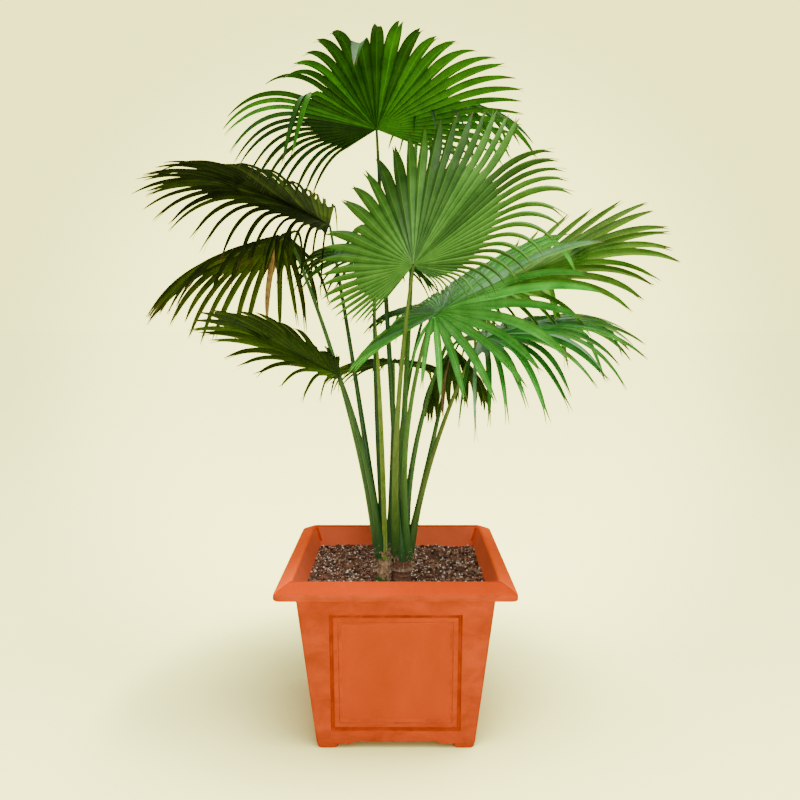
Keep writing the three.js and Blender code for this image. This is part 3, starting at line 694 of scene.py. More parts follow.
# Each fan: hub, where its middle rib leads (heading, rise, roll), reach of that rib, the ribs' reach
# as shares of it, lopsidedness, spread, fold about the middle rib, how far the ribs run along the
# costa before they leave it, arch, droop of the free fingers and where they part. Then the stem and
# angle the stalk stands at, and the stalk's sideways belly. Angles are in degrees. Sides, droop and
# parted are given in even steps from the fan's first edge to its last.
plain_fan = dict(skew=0, fold=-4, costa=0.2, stem="right")
fans = {
    "top": dict(
        hub=(-0.036, 0, 1.131), turn=(-97, 31, 3), reach=0.286,
        sides=(0.74, 0.98, 1.06, 0.8, 0.98, 0.88, 0.98, 0.95, 0.6), span=252, fold=5, costa=0, arch=0.09,
        droop=(2.1, 1.3, 0.95, 0.4, 0.1), parted=(0.36, 0.44, 0.56, 0.52, 0.44), seat=270,
        bow=(-0.0015, 0.001),
    ),
    "front": dict(
        hub=(0.03, -0.19, 0.868), turn=(-100, 117, -26), reach=0.293,
        sides=(0.5, 0.72, 0.875, 0.97, 1, 1, 0.92, 0.62, 0.25), skew=0.17, span=273, fold=0, costa=0,
        arch=-0.1, droop=(0.38, 0.45, 0.5, 1.35, 1.8), parted=(0.56, 0.6, 0.46), seat=222,
        bow=(-0.012, -0.016),
    ),
    "left_upper": dict(
        hub=(-0.134, 0.1, 0.968), turn=(192, 26, -27), reach=0.385, sides=(0.58, 1, 0.56), span=172,
        fold=11, costa=0.6, arch=0.42, droop=(2.6, 0.42, 4.5), parted=(0.3, 0.5, 0.32), stem="left",
        seat=128, bow=(0.003, 0.004),
    ),
    "left_middle": dict(
        hub=(-0.215, 0.09, 0.946), turn=(183, -16, 14), reach=0.33, sides=(0.68, 1, 0.6), skew=-0.09,
        span=218, fold=-15, costa=0.3, arch=0.35, droop=(1.4, 0.55, 1.6), parted=(0.32, 0.42, 0.34),
        stem="left", seat=178, bow=(0.022, -0.014),
    ),
    "left_lower": dict(
        hub=(-0.102, -0.075, 0.676), turn=(192, 26, -18), reach=0.292, sides=(0.3, 0.78, 1, 0.76, 0.16),
        skew=-0.05, span=176, fold=3, costa=0.5, arch=0, droop=(0.4, 0.35, 0.35, 0.8, 1.6),
        parted=(0.72, 0.5, 0.32), stem="left", seat=226, bow=(0.012, -0.004),
    ),
    "right_lower": dict(
        hub=(0.06, -0.15, 0.781), turn=(10, 34, 27), reach=0.336, sides=(0.34, 0.68, 1, 0.82, 0.46),
        skew=0.12, span=315, fold=-21, arch=0.2, droop=(1.8, 0.4, 0.6), parted=(0.14, 0.42, 0.6),
        seat=315, bow=(-0.022, 0.01),
    ),
    "right_side": dict(
        hub=(0.151, -0.06, 0.74), turn=(2, 20, 10), reach=0.306, sides=(0.85, 1, 0.5), span=225, fold=2,
        costa=0.3, arch=0.5, droop=(1.3, 0.7, 0.7), parted=(0.26, 0.46, 0.38), seat=350,
        bow=(-0.016, -0.004),
    ),
    "right_upper": dict(
        hub=(0.147, 0.07, 0.831), turn=(-20, 15, 42), reach=0.39,
        sides=(0.25, 0.5, 0.88, 1.02, 0.95, 0.3, 0.08), skew=0.1, span=202, costa=0.62, arch=-0.02,
        droop=(1.0, 0.9, 0.7, -0.3, -0.3), parted=(0.4, 0.54, 0.56), seat=62, bow=(-0.032, 0.002),
    ),
    "right_hanging": dict(
        hub=(0.118, 0.11, 0.722), turn=(-87, -5, 6), reach=0.176, sides=(0.65, 1, 0.65), skew=-0.06,
        span=278, fold=-50, costa=0, arch=1.2, droop=(1.06, 1.06, 1.06), parted=(0.42, 0.51, 0.42),
        seat=26, bow=(0, 0),
    ),
    "rear_top": dict(
        hub=(0.042, 0.08, 1.19), turn=(8, 8, 0), reach=0.262, sides=(0.42, 1, 0.42), span=250, arch=0.5,
        droop=(0.9, 0.9, 0.9), parted=(0.24, 0.26, 0.24), seat=134, bow=(0.003, -0.01),
    ),
    "rear_right": dict(
        hub=(0.06, 0.12, 0.8), turn=(75, 14, 0), reach=0.212, sides=(0.6, 1, 0.6), span=205, arch=0.4,
        droop=(0.7, 0.7, 0.7), parted=(0.42, 0.52, 0.42), seat=98, bow=(-0.022, 0.006),
    ),
    "rear_left": dict(
        hub=(-0.045, 0.12, 0.905), turn=(116, 24, 0), reach=0.225, sides=(0.7, 1, 0.55), span=230,
        arch=0.5, droop=(1.1, 0.8, 1.1), parted=(0.3, 0.45, 0.3), stem="left", seat=84,
        bow=(-0.006, -0.012),
    ),
    "rear_low": dict(
        hub=(-0.005, 0.115, 0.69), turn=(102, 6, 0), reach=0.2, sides=(0.55, 1, 0.55), span=232,
        arch=0.3, droop=(0.6, 0.6, 0.6), parted=(0.42, 0.52, 0.42), stem="left", seat=28,
        bow=(0.001, -0.012),
    ),
}
fans = {name: {**plain_fan, **fan} for name, fan in fans.items()}


def lead_directions(fan):
    """The blade's own directions: along its middle rib, across it, and out of its upper face."""
    heading, rise, roll = (math.radians(angle) for angle in fan["turn"])
    midrib = np.array((
        math.cos(heading) * math.cos(rise), math.sin(heading) * math.cos(rise), math.sin(rise)
    ))
    level = np.array((-math.sin(heading), math.cos(heading), 0))
    across = level * math.cos(roll) + np.cross(midrib, level) * math.sin(roll)
    return midrib, across, np.cross(midrib, across)


def unit(vectors):
    return vectors / np.linalg.norm(vectors, axis=-1, keepdims=True)


def at_place(values, u):
    """A value along the fan: on a curve through three given ones, or on lines between more."""
    if len(values) == 3:
        first, middle, last = values
        return middle + (np.where(u < 0.5, first, last) - middle) * (2 * u - 1) ** 2
    return np.interp(u, np.linspace(0, 1, len(values)), values)


def rib_length(fan, u):
    return fan["reach"] * at_place(fan["sides"], u) * (1 + fan["skew"] * (2 * u - 1))


def grow_ribs(fan, u, wobble):
    """Points along the ribs at places u, from 0 on one edge of the fan to 1 on the other. A rib
    starts along its own ray and is bent down by its weight, more so where it is a free finger."""
    midrib, across, face = lead_directions(fan)
    swing = 2 * u - 1
    angle = swing * math.radians(fan["span"]) / 2
    fold = math.radians(fan["fold"])
    lift = np.hypot(np.sin(angle), fold_softness) - fold_softness
    ray = np.outer(np.cos(angle), midrib) + np.outer(np.sin(angle) * math.cos(fold), across)
    ray = unit(ray + np.outer(lift * math.sin(fold), face))
    sideways = np.outer(-np.sin(angle), midrib) + np.outer(np.cos(angle), across)
    parted = at_place(fan["parted"], u)
    droop = at_place(fan["droop"], u)
    stay = fan["costa"] * (1 - np.abs(swing)) + 0.001
    firm = 1 - steady_against_sag * np.clip(ray[:, 2], 0, 1) ** 2
    points = [np.tile(fan["hub"], (len(u), 1))]
    for step in range(rib_steps):
        share = (step + 0.5) / rib_steps
        free = np.clip((share - parted) / (1 - parted), 0, 1)
        sag = droop * free ** sag_growth * wobble["droop"]
        sag += wobble["kink_drop"] * np.clip((share - wobble["kink_at"]) * rib_steps / 2, 0, 1)
        left = np.clip(share / stay, 0, 1)[:, None] ** 1.5
        heading = ray * left + midrib * (1 - left) + sideways * (wobble["turn"] * free)[:, None]
        heading[:, 2] -= (fan["arch"] * share + sag) * firm
        stride = rib_length(fan, u) / rib_steps * np.where(free > 0, wobble["stretch"], 1)
        points.append(points[-1] + unit(heading) * stride[:, None])
    return np.stack(points, axis=1)


def still(count):
    """No wobble, for a number of ribs."""
    none = np.zeros(count)
    return {"turn": none, "droop": none + 1, "stretch": none + 1, "kink_at": none + 2, "kink_drop": none}


def points_at(ribs, shares):
    """The points at shares of each rib's length: one row of shares for each rib."""
    place = np.clip(shares, 0, 1) * rib_steps
    before = np.minimum(place.astype(int), rib_steps - 1)
    rest = (place - before)[..., None]
    rows = np.arange(len(ribs))[:, None]
    return ribs[rows, before] * (1 - rest) + ribs[rows, before + 1] * rest


def blade_places(fan, u, shares, wobble):
    """Points, directions across the blade and upper-face normals at shares along ribs."""
    beside = 0.01
    ahead = 0.04
    ribs = grow_ribs(fan, u, wobble)
    along = unit(points_at(ribs, shares + ahead) - points_at(ribs, shares - ahead))
    lateral = points_at(grow_ribs(fan, u + beside, wobble), shares)
    lateral = lateral - points_at(grow_ribs(fan, u - beside, wobble), shares)
    lateral = unit(lateral - along * (lateral * along).sum(axis=-1, keepdims=True))
    return points_at(ribs, shares), lateral, np.cross(along, lateral)


def seat_on_stem(stem, degrees, lift):
    """A point on the ring the leaves spring from, at an angle and a little above the stem's top."""
    angle = math.radians(degrees)
    x = stem["x"] + stem["ring"] * math.cos(angle)
    y = stem["y"] + stem["ring"] * math.sin(angle)
    return Vector((x, y, stem_foot_height + stem["height"] + lift))


def on_bend(foot, belly, tip, share):
    """A point at a share of the way along a gentle bend."""
    return foot * (1 - share) ** 2 + belly * 2 * share * (1 - share) + tip * share ** 2


def stalk_point(fan, share):
    """A point on the stalk's line, from its seat on the stem to the hub, with a gentle belly."""
    seat = seat_on_stem(stems[fan["stem"]], fan["seat"], stalk_gap)
    hub = Vector(fan["hub"])
    belly = seat.lerp(hub, 0.5) + 2 * Vector((*fan["bow"], 0))
    return on_bend(seat, belly, hub, share)


def station_matrix(point, direction, radius):
    """Stands a unit ring across a direction at a point."""
    turn = direction.to_track_quat("Z", "Y").to_matrix().to_4x4()
    return Matrix.Translation(point) @ turn @ Matrix.Diagonal((radius, radius, radius, 1))


def sweep(bm, points, radii, sides, groove=0.0, pleats=0.0):
    """Carries a ring along points, drawn out into a closed limb."""
    directions = [(after - before).normalized() for before, after in zip(points, points[1:])]
    directions.append(directions[-1])
    stations = [station_matrix(*station) for station in zip(points, directions, radii)]
    made = bmesh.ops.create_circle(bm, cap_ends=False, segments=sides, radius=1)["verts"]
    for vert in made:
        vert.co.y -= groove * max(0, 1 - abs(vert.co.x) / 0.5) * (1 if vert.co.y > 0 else 0)
    for vert in made[::2]:
        vert.co *= 1 - pleats
    foot = [edge for edge in bm.edges if edge.verts[0] in made and edge.verts[1] in made]
    bmesh.ops.transform(bm, matrix=stations[0], verts=made)
    ring = foot
    for before, after in zip(stations, stations[1:]):
        ring, verts = extrude(bm, ring)
        bmesh.ops.transform(bm, matrix=after @ before.inverted(), verts=verts)
    bmesh.ops.edgeloop_fill(bm, edges=foot)
    bmesh.ops.edgeloop_fill(bm, edges=ring)


def stalk_material(name, dark, light):
    """Waxy green stalk, streaked along its length, with a deep green foot."""
    material, tree = new_material(name)
    colour, height = add_clouds(tree, dark, light, 140.0, 14.0, 900.0, 2.5)
    place = add_node(tree, "TexCoord").outputs["Object"]
    up = add_node(tree, "SeparateXYZ", {0: place}).outputs["Z"]
    colour = blend(tree, ranged(tree, up, 0.36, 0.56, 0.75, 0.0), colour, stalk_foot_colour)
    add_surface(tree, colour, height, 0.12, 0.0005, 0.4, 0.4)
    return material


stalk_foot_colour = (0.022, 0.10, 0.022, 1)
stalk_tones = {
    "deep": stalk_material("stalk_deep_green", (0.008, 0.045, 0.010), (0.03, 0.12, 0.02)),
    "green": stalk_material("stalk_green", (0.03, 0.105, 0.015), (0.08, 0.22, 0.035)),
    "olive": stalk_material("stalk_olive", (0.035, 0.07, 0.008), (0.12, 0.18, 0.025)),
    "pale": stalk_material("stalk_yellow_green", (0.045, 0.095, 0.012), (0.13, 0.22, 0.03)),
}
stalk_tone_of = {
    "left_upper": "deep", "left_middle": "green", "left_lower": "deep", "rear_left": "deep",
    "top": "deep", "front": "pale", "rear_top": "green", "rear_low": "green", "rear_right": "deep",
    "right_lower": "green", "right_side": "olive", "right_upper": "green", "right_hanging": "green",
}


def make_stalk(name, fan):
    bm = bmesh.new()
    shares = [step / stalk_steps for step in range(stalk_steps + 1)]
    points = [stalk_point(fan, share) for share in shares]
    radii = [float(np.interp(share, *zip(*stalk_radii))) for share in shares]
    foot = points[0] - (points[1] - points[0]).normalized() * stalk_sunk
    sweep(bm, [foot] + points, [radii[0] * stalk_foot_share] + radii, stalk_sides, groove=stalk_groove)
    shares = costa_share * np.arange(costa_steps + 1) / costa_steps
    costa = points_at(grow_ribs(fan, np.array([0.5]), still(1)), shares[None, :])[0]
    face = Vector(lead_directions(fan)[2])
    lowered = [Vector(point) - face * costa_sunk for point in costa]
    radii = [costa_radius * (1 - costa_taper * step / costa_steps) for step in range(costa_steps + 1)]
    sweep(bm, lowered, radii, costa_sides)
    bmesh.ops.recalc_face_normals(bm, faces=bm.faces)
    mesh = shade_by_angle(new_mesh(name + "_stalk", bm), 60)
    piece = new_piece(mesh, stalk_tones[stalk_tone_of[name]])
    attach(piece, "root")
    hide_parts(name + "_petiole")


for name, fan in fans.items():
    make_stalk(name, fan)


# ---------------- the sheaths and shoots
# What is left of old leaves: tan papery sheaths with torn rims round the tops of the stems, loose
# curved fibres, and a few bright green shoots at the foot of the left stem.
sheath_thickness = 0.0004
sheath_sides = 56
sheath_rows = 7
# Each sheath: its foot above the stem's, its radius there and at the rim, and how tall it is.
sheaths = {
    "left": [(0.016, 0.0150, 0.0160, 0.009), (0.032, 0.0148, 0.0168, 0.012), (0.050, 0.0152, 0.0182, 0.016)],
    "right": [(0.022, 0.0196, 0.0210, 0.010), (0.044, 0.0192, 0.0222, 0.017)],
}
shoot_count = 9
shoots_from = 200
shoots_spread = 100
shoot_radii = [0.0019, 0.0017, 0.0013, 0.0008, 0.0003]
fibre_count = 60
fibre_steps = 6


def add_sheath(bm, stem, foot, low_radius, high_radius, tall):
    """A flaring paper-thin cuff with a torn rim, open at the top."""
    phase = stem_random.uniform(0, 9)
    torn = [noise.noise(Vector((side * 0.55, phase, 0))) for side in range(sheath_sides)]
    torn = [max(0.05, 0.5 + 0.9 * share) for share in torn]
    rim = bmesh.ops.create_circle(bm, cap_ends=False, segments=sheath_sides, radius=low_radius)["verts"]
    bmesh.ops.translate(bm, verts=rim, vec=(stem["x"], stem["y"], stem_foot_height + foot))
    ring = [edge for edge in bm.edges if edge.verts[0] in rim and edge.verts[1] in rim]
    before = low_radius
    for row in range(1, sheath_rows + 1):
        ring, verts = extrude(bm, ring)
        radius = low_radius + (high_radius - low_radius) * (row / sheath_rows) ** 1.6
        for vert in verts:
            out = Vector((vert.co.x - stem["x"], vert.co.y - stem["y"], 0))
            side = int(math.atan2(out.y, out.x) / math.tau * sheath_sides) % sheath_sides
            crumple = 0.001 * noise.noise(Vector((out.x * 190, out.y * 190, vert.co.z * 60)))
            vert.co += out.normalized() * (radius - before + crumple)
            vert.co.z += tall / sheath_rows * (torn[side] if row > 2 else 1)
        before = radius


def add_fibre(bm, stem):
    """One loose fibre, from inside the sheaths out and over."""
    angle = stem_random.uniform(0, math.tau)
    lean = stem_random.uniform(0.1, 0.9)
    length = stem_random.uniform(0.010, 0.026)
    out = Vector((math.cos(angle), math.sin(angle), 0))
    height = stem_random.uniform(0.3, 1.1) * stem["height"]
    points = [Vector((stem["x"], stem["y"], stem_foot_height + height)) + out * stem["top"]]
    for step in range(fibre_steps):
        heading = (out * lean * (0.4 + step * 0.2) + Vector((0, 0, 1.1 - 0.28 * step))).normalized()
        heading.x += stem_random.uniform(-0.25, 0.25)
        points.append(points[-1] + heading * length / fibre_steps)
    sweep(bm, points, [0.0004 - 0.00004 * step for step in range(fibre_steps + 1)], 4)


def finish_remains(name, bm, node, material):
    bmesh.ops.recalc_face_normals(bm, faces=bm.faces)
    piece = new_piece(shade_by_angle(new_mesh(name, bm), 50), material)
    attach(piece, "root")
    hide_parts(node)


def make_remains(side, stem):
    bm = bmesh.new()
    for sheath in sheaths[side]:
        add_sheath(bm, stem, *sheath)
    bmesh.ops.recalc_face_normals(bm, faces=bm.faces)
    bmesh.ops.solidify(bm, geom=bm.faces[:], thickness=sheath_thickness)
    finish_remains(side + "_stem_sheaths", bm, side + "_stem", sheath_papers[side])
    loose = bmesh.new()
    for fibre in range(fibre_count):
        add_fibre(loose, stem)
    finish_remains(side + "_stem_fibres", loose, side + "_stem", fibre_cream)


def make_shoots():
    bm = bmesh.new()
    stem = stems["left"]
    for shoot in range(shoot_count):
        angle = math.radians(shoots_from + shoots_spread * shoot / shoot_count)
        out = Vector((math.cos(angle), math.sin(angle), 0))
        foot = Vector((stem["x"], stem["y"], soil_middle_height - 0.002)) + out * stem["foot"] * 1.05
        lean = out * stem_random.uniform(0.1, 0.5)
        tall = stem_random.uniform(0.008, 0.015)
        bends = [lean * share ** 2 + Vector((0, 0, share)) for share in (0, 0.3, 0.6, 0.85, 1)]
        sweep(bm, [foot + bend * tall for bend in bends], shoot_radii, 8)
    finish_remains("left_stem_shoots", bm, "left_stem", shoot_green)


sheath_papers = {
    "left": bark_material("tan_sheath", (0.09, 0.06, 0.025), (0.62, 0.44, 0.24), 180.0, 2.0, 0.85),
    "right": bark_material("pale_sheath", (0.05, 0.026, 0.014), (0.60, 0.47, 0.30), 200.0, 3.0, 0.85),
}
fibre_cream = bark_material("cream_fibre", (0.38, 0.27, 0.15), (0.85, 0.72, 0.50), 200.0, 2.0, 0.8)
shoot_green = stalk_material("shoot_green", (0.06, 0.2, 0.01), (0.16, 0.4, 0.03))
for side, stem in stems.items():
    make_remains(side, stem)
make_shoots()


# ---------------- the fans
# Round pleated blades: narrow folded segments, grown together from the hub to where they part,
# then free as long fingers that fold shut, droop and split at the tip. Satin leaf, paler below.
united_rows = 9
finger_rows = 14
columns_a_segment = 4
blade_thickness = 0.0005
fan_random = np.random.default_rng(71)
finger_twist = 0.35
finger_taper = 4.5
finger_narrowing = 0.16
finger_least = 0.0003
settle_share = 0.16
split_places = (0.78, 0.95)
split_gaps = (0.001, 0.004)
kinked_share = 0.03
cleft_width = 0.07
cleft_turn = 0.55

# How each fan is finished: segments, tone, how far its fingers fold shut, in even steps from the
# first edge to the last, how full they are half-way, how unruly, the share of pale segments, the
# places of dry ones and of patches of one tone, where the blade parts in two, which fingers are
# bent, how broad the segments are along the fan, and how steep its pleats, in degrees.
plain_look = dict(
    closing=(48, 48, 48), fullness=0.0, wild=1.3, streaks=0.0, dry=[], patches=[], cleft=None, bent=[],
    widths=(1, 1, 1, 1, 1), pleat=39,
)
looks = {
    "top": dict(
        count=42, tone="mid", closing=(50, 52, 24, 42, 50), fullness=0.15, wild=0.7,
        # Painted shade on the lower-left fingers, painted light on the right side.
        patches=[(0, 0.22, 4), (0.64, 1, 1)], bent=[0.345, 0.37], widths=(0.9, 0.8, 1.2, 1.1, 0.8),
    ),
    "front": dict(
        count=50, tone="pale", closing=(48, 34, 30, 52, 58), fullness=0.15, wild=0.8, pleat=27,
        patches=[(0.06, 0.34, 1), (0.68, 0.76, 1)], cleft=0.66, widths=(0.75, 1.3, 1.15, 0.75, 0.6),
    ),
    "left_upper": dict(count=38, tone="dark", closing=(40, 48, 54, 60, 60), wild=1.5),
    "left_middle": dict(
        count=30, tone="dark", closing=(46, 52, 52), wild=2.6, streaks=0.08, patches=[(0.1, 0.4, 1)],
        dry=[0.17],
    ),
    "left_lower": dict(count=23, tone="deep", closing=(58, 52, 52, 58, 58), wild=1.6),
    "right_lower": dict(
        count=56, tone="bright", closing=(18, 50, 60, 62, 56), wild=1.7, streaks=0.06,
        widths=(3.2, 1.1, 0.5, 0.42, 0.6),
    ),
    "right_side": dict(
        count=40, tone="gloss_and_painted_sheen", closing=(46, 58, 56), fullness=0.1, wild=2.3, streaks=0.16,
        patches=[(0.36, 0.45, 0)], widths=(1.0, 0.9, 0.7, 0.8, 1),
    ),
    "right_upper": dict(count=32, tone="fresh", closing=(64, 66, 66, 62, 54), bent=[0.34]),
    "right_hanging": dict(count=26, tone="dull", wild=1.8, streaks=0.2, dry=[0.4, 0.7]),
    "rear_top": dict(count=17, tone="mid", closing=(62, 62, 62), wild=1.6, streaks=0.5),
    "rear_right": dict(count=30, tone="mid", wild=1.2, streaks=0.5),
    "rear_left": dict(count=28, tone="mid", wild=2.0, streaks=0.15),
    "rear_low": dict(count=30, tone="dull", wild=1.2),
}
looks = {name: {**plain_look, **look} for name, look in looks.items()}


def wobble_fingers(look, middle):
    """Each finger's own turn, droop, stretch and, for a few, a kink."""
    draw = fan_random.uniform
    count = look["count"]
    wild = look["wild"]
    kinked = draw(0, 1, count) < kinked_share * wild
    turn = draw(-0.05, 0.05, count) * wild
    if look["cleft"]:
        away = (middle - look["cleft"]) / cleft_width
        turn += cleft_turn * np.sign(away) * np.exp(-away ** 2)
    kink_at = np.where(kinked, draw(0.6, 0.85, count), 2.0)
    kink_drop = draw(0.8, 1.8, count)
    for place in look["bent"]:
        finger = int(place * count)
        kink_at[finger] = 0.5
        kink_drop[finger] = 3.0
    return {
        "turn": turn,
        "droop": 1 + draw(-0.22, 0.25, count) * wild,
        "stretch": 1 + draw(-0.06, 0.05, count) * wild,
        "kink_at": kink_at,
        "kink_drop": kink_drop,
    }


def leaf_marks_group():
    """The marks on a blade: a pale rib in each segment, painted shade darkening the folds between them,
    veins, a dry tip.
    """
    tree, given = new_group("leaf_marks", (), ("Color", "Rib"))
    blade = add_node(tree, "UVMap", uv_map="blade").outputs[0]
    across, along = add_node(tree, "SeparateXYZ", {0: blade}).outputs[:2]
    away = worked(tree, "ABSOLUTE", worked(tree, "ADD", worked(tree, "FRACT", across), -0.5))
    # Painted shade: the colour darkens to half towards each segment's margins, where the blade folds.
    painted_fold_shade = scaled(tree, given["Color"], ranged(tree, away, 0.30, 0.5, 1.0, 0.5))
    ribbed = blend(tree, ranged(tree, away, 0.0, 0.07, 0.45, 0.0), painted_fold_shade, given["Rib"])
    tipped = blend(tree, ranged(tree, along, 1.86, 2.0, 0.0, 0.75), ribbed, dry_tip_colour)
    veins = worked(tree, "SINE", worked(tree, "MULTIPLY", across, veins_a_segment * math.tau))
    add_node(tree, "NodeGroupOutput", {"Color": tipped, "Height": veins})
    return tree


veins_a_segment = 14
dry_tip_colour = (0.10, 0.065, 0.015, 1)
leaf_marks = leaf_marks_group()


def leaf_material(name, dark, light, roughness, coat, shine=0.12):
    """Satin leaf: soft clouds of colour, a rib and veins along the blade, a thin waxy coat."""
    material, tree = new_material(name)
    colour = add_clouds(tree, dark, light, 26.0, 1.0, 1100.0, 2.2)["Color"]
    given = {"Color": colour, "Rib": (*(2 * part for part in light), 1)}
    marked, veins = add_node(tree, "Group", given, node_tree=leaf_marks).outputs
    coating = {"Coat Weight": coat, "Coat Roughness": 0.25}
    add_surface(tree, marked, veins, 0.25, 0.0003, roughness, shine, **coating)
    return material


def brighter(colour, gain):
    return [min(gain * part, 1) for part in colour]


def leaf_tone(name, dark, light, lift, below, pale_dark, pale_light, *finish):
    """Materials for a blade's segments: plain, light, palest, dry and shaded, above and then below.
    The light copy is painted light where patches deal it, the shaded copy painted shade, and the
    palest partly painted sheen.
    """
    dry = leaf_material(name + "_dry", (0.16, 0.085, 0.04), (0.46, 0.27, 0.15), 0.7, 0.0)
    palest = leaf_material(name + "_palest", pale_dark, pale_light, *finish)
    made = []
    for side, gain in (("_upper", 1), ("_under", below)):
        shades = []
        # The light copy is a change of tone dealt at random, and painted light where patches deal it; the
        # shaded copy is painted shade.
        for kind, more in (("", 1), ("_light", lift), ("_shaded", 0.45)):
            colours = [brighter(colour, gain * more) for colour in (dark, light)]
            shades.append(leaf_material(name + side + kind, *colours, *finish))
        made += [shades[0], shades[1], palest, dry, shades[2]]
    return made


# Each tone: darkest and lightest colour, gain of the light segments, gain below, the palest ones'
# two colours, and the finish: roughness, coat and shine. The palest colours of the mid, bright and
# glossy tones are painted sheen.
leaf_tones = {
    "mid": (
        (0.006, 0.045, 0.001), (0.022, 0.11, 0.002), 2.2, 1.05,
        (0.05, 0.17, 0.05), (0.15, 0.34, 0.14), 0.45, 0.03,
    ),
    # Partly the leaves' own colour and partly painted shade, for the shaded lower-left fan.
    "deep": (
        (0.012, 0.030, 0.001), (0.036, 0.074, 0.001), 1.7, 1.3,
        (0.05, 0.11, 0.01), (0.12, 0.22, 0.03), 0.55, 0.0, 0.05,
    ),
    "pale": (
        (0.0155, 0.056, 0.0055), (0.041, 0.113, 0.014), 1.8, 1.3,
        (0.09, 0.20, 0.02), (0.18, 0.33, 0.05), 0.45, 0.05,
    ),
    # Partly the leaves' own colour and partly painted shade, for the fans on the shaded left of the crown.
    "dark": (
        (0.006, 0.011, 0.0012), (0.020, 0.034, 0.0025), 2.1, 1.7,
        (0.045, 0.07, 0.012), (0.12, 0.15, 0.03), 0.7, 0.0, 0.02,
    ),
    "fresh": (
        (0.052, 0.155, 0.013), (0.140, 0.300, 0.034), 1.35, 1.3,
        (0.09, 0.20, 0.02), (0.18, 0.33, 0.05), 0.45, 0.05,
    ),
    "gloss_and_painted_sheen": (
        (0.014, 0.10, 0.010), (0.05, 0.25, 0.032), 1.8, 1.15,
        (0.14, 0.34, 0.14), (0.34, 0.60, 0.34), 0.3, 0.14,
    ),
    # Partly the leaves' own colour and partly painted shade, for the shaded hanging and rear fans.
    "dull": (
        (0.018, 0.042, 0.006), (0.070, 0.120, 0.020), 1.6, 1.3,
        (0.045, 0.07, 0.012), (0.12, 0.15, 0.03), 0.7, 0.0, 0.02,
    ),
    "bright": (
        (0.038, 0.225, 0.028), (0.118, 0.46, 0.068), 1.5, 1.15,
        (0.12, 0.36, 0.13), (0.27, 0.58, 0.30), 0.34, 0.05,
    ),
}
leaf_tones = {tone: leaf_tone("leaf_" + tone, *values) for tone, values in leaf_tones.items()}


def segment_edges(look):
    """Where the segments meet along the fan, each a little broader or narrower than the next."""
    count = look["count"]
    widths = np.interp(np.linspace(0, 1, count), (0, 0.25, 0.5, 0.75, 1), look["widths"])
    widths = widths * fan_random.uniform(0.86, 1.14, count)
    return np.concatenate(([0], np.cumsum(widths))) / widths.sum()


def segment_half_width(fan, width, u, share):
    """Half the distance between two neighbouring margins at a share of the rib."""
    return share * rib_length(fan, u) * math.radians(fan["span"]) * width / 2


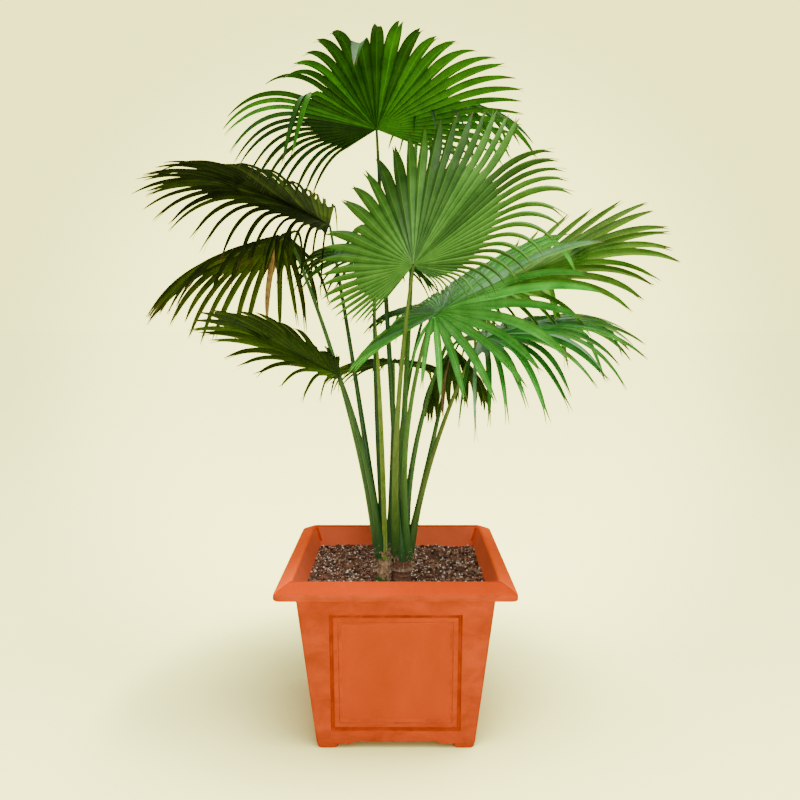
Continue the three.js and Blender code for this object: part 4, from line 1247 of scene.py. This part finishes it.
def make_fan(name, fan, look):
    count = look["count"]
    columns = columns_a_segment * count + 1
    edges = segment_edges(look)
    segment_width = np.diff(edges)
    column_width = np.append(np.repeat(segment_width, columns_a_segment), segment_width[-1])
    u = np.interp(np.arange(columns) / columns_a_segment, np.arange(count + 1), edges)
    pleat = math.radians(look["pleat"])
    stations = (np.arange(1, united_rows + 1) / united_rows) ** 0.8
    shares = at_place(fan["parted"], u)[:, None] * stations
    points, lateral, normal = blade_places(fan, u, shares, still(columns))
    level = np.array([1, 0, -1, 0])[np.arange(columns) % columns_a_segment]
    height = segment_half_width(fan, column_width[:, None], u[:, None], shares) * math.tan(pleat) / 2
    points = points + normal * (height * level[:, None])[..., None]
    vertices = [np.array(fan["hub"])[None, :], points.transpose(1, 0, 2).reshape(-1, 3)]
    dealt = fan_random.uniform(0, 1, count)
    # Pale segments are painted sheen on the glossy, bright and mid fans, and paler olive segments on the
    # dark and dull ones; a third of the rest take the light copy at random.
    tone_of = np.where(dealt < look["streaks"], 2, np.where(dealt > 0.65, 1, 0))
    places = np.arange(count) / count
    # Patches deal one tone by place: painted light with the light copy, painted shade with the shaded copy.
    for first, last, tone in look["patches"]:
        tone_of[(places >= first) & (places <= last)] = tone
    tone_of[[int(place * count) for place in look["dry"]]] = 3
    faces = []
    uvs = []
    tones = []

    def add_face(corners, x, y, segment):
        """A face with its place on the blade and its segment's tone."""
        far = x + 1 / columns_a_segment
        faces.append(corners)
        uvs.append([(x, y), (x, y + 0.1), (far, y + 0.1), (far, y)][:len(corners)])
        tones.append(int(tone_of[segment]))

    def united(row, column):
        return 1 + (row - 1) * columns + column

    for column in range(columns - 1):
        x = column / columns_a_segment
        segment = column // columns_a_segment
        add_face((0, united(1, column), united(1, column + 1)), x, 0, segment)
        for row in range(1, united_rows):
            near = (united(row, column), united(row + 1, column))
            far = (united(row + 1, column + 1), united(row, column + 1))
            add_face(near + far, x, row / united_rows, segment)

    middle = (edges[:-1] + edges[1:]) / 2
    root = at_place(fan["parted"], middle)
    t = np.arange(1, finger_rows + 1) / finger_rows
    shares = root[:, None] + (1 - root)[:, None] * t
    spine, across, face = blade_places(fan, middle, shares, wobble_fingers(look, middle))
    twist = fan_random.uniform(-finger_twist, finger_twist, count)
    twist = (twist[:, None] * t)[..., None]
    lateral = across * np.cos(twist) + face * np.sin(twist)
    normal = face * np.cos(twist) - across * np.sin(twist)
    root_half = segment_half_width(fan, segment_width, middle, root)
    full = 1 + look["fullness"] * np.sin(math.pi * np.minimum(1.4 * t, 1))
    width = (1 - t ** finger_taper) * (1 - finger_narrowing * t) * full
    width = np.maximum((root_half / math.cos(pleat))[:, None] * width, finger_least)[..., None]
    closing = np.radians(at_place(look["closing"], middle)) * fan_random.uniform(0.88, 1.1, count)
    settle = np.clip(t / settle_share, 0, 1)
    settle = settle * settle * (3 - 2 * settle)
    angle = (pleat + (closing[:, None] - pleat) * settle)[..., None]
    sunk = (root_half * math.tan(pleat) / 2)[:, None] * (1 - t) ** 2
    spine = spine - normal * sunk[..., None]
    split_at = fan_random.uniform(*split_places, count)
    split = np.clip((t - split_at[:, None]) / (1 - split_at[:, None]), 0, 1)
    gap = (split * fan_random.uniform(*split_gaps, count)[:, None])[..., None]
    halves = []
    for side in (-1, 1):
        inner = spine + side * lateral * gap
        wing = side * lateral * np.cos(angle) + normal * np.sin(angle)
        halves.append([inner, inner + wing * width * 0.5 - normal * width * 0.04, inner + wing * width])
    offset = sum(len(part) for part in vertices)
    vertices.append(np.stack(halves[0][::-1] + halves[1], axis=2).reshape(-1, 3))

    def finger(segment, row, place):
        """Vertex number on a finger: its first row is the united part's last."""
        if row == 0:
            return united(united_rows, columns_a_segment * segment + (place if place < 3 else place - 1))
        if place == 3 and split[segment, row - 1] == 0:
            place = 2
        return offset + (segment * finger_rows + row - 1) * 6 + place

    for segment in range(count):
        for row in range(finger_rows):
            for place in (0, 1, 3, 4):
                near = (finger(segment, row, place), finger(segment, row + 1, place))
                far = (finger(segment, row + 1, place + 1), finger(segment, row, place + 1))
                x = segment + (place if place < 3 else place - 1) / columns_a_segment
                add_face(near + far, x, 1 + row / finger_rows, segment)

    mesh = bpy.data.meshes.new(name + "_fan")
    mesh.from_pydata(np.concatenate(vertices).tolist(), [], faces)
    layer = mesh.uv_layers.new(name="blade")
    layer.data.foreach_set("uv", np.concatenate([np.array(corners, dtype=float).ravel() for corners in uvs]))
    piece = new_piece(mesh, *leaf_tones[look["tone"]])
    mesh.polygons.foreach_set("material_index", tones)
    thick = piece.modifiers.new("blade_thickness", "SOLIDIFY")
    thick.thickness = blade_thickness
    thick.offset = -1
    thick.material_offset = 5
    bpy.context.view_layer.update()
    grown = bpy.data.meshes.new_from_object(piece.evaluated_get(bpy.context.evaluated_depsgraph_get()))
    piece.modifiers.clear()
    piece.data = shade_by_angle(grown, 42)
    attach(piece, "root")
    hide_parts(name + "_frond")


for name, fan in fans.items():
    make_fan(name, fan, looks[name])


# ---------------- the spear leaf
# The youngest leaf, still folded shut: a slim pleated spindle that stands up from the left stem.
spear_tip = Vector((-0.040, -0.018, 0.795))
spear_seat = 278
spear_radius = 0.0052
spear_belly = 0.006
spear_pleats = 9
spear_steps = 40


def make_spear():
    seat = seat_on_stem(stems["left"], spear_seat, -stalk_sunk)
    belly = seat.lerp(spear_tip, 0.5) + Vector((spear_belly, 0, 0))
    shares = [step / spear_steps for step in range(spear_steps + 1)]
    points = [on_bend(seat, belly, spear_tip, share) for share in shares]
    radii = [max(0.0008, spear_radius * math.sqrt(1 - share ** 2)) for share in shares]
    bm = bmesh.new()
    sweep(bm, points, radii, 2 * spear_pleats, pleats=0.3)
    bmesh.ops.recalc_face_normals(bm, faces=bm.faces)
    mesh = shade_by_angle(new_mesh("spear_blade", bm), 25)
    mesh.uv_layers.new(name="blade")
    piece = new_piece(mesh, leaf_material("leaf_young", (0.14, 0.24, 0.03), (0.3, 0.42, 0.08), 0.45, 0.1))
    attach(piece, "root")
    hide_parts("spear_leaf")


make_spear()
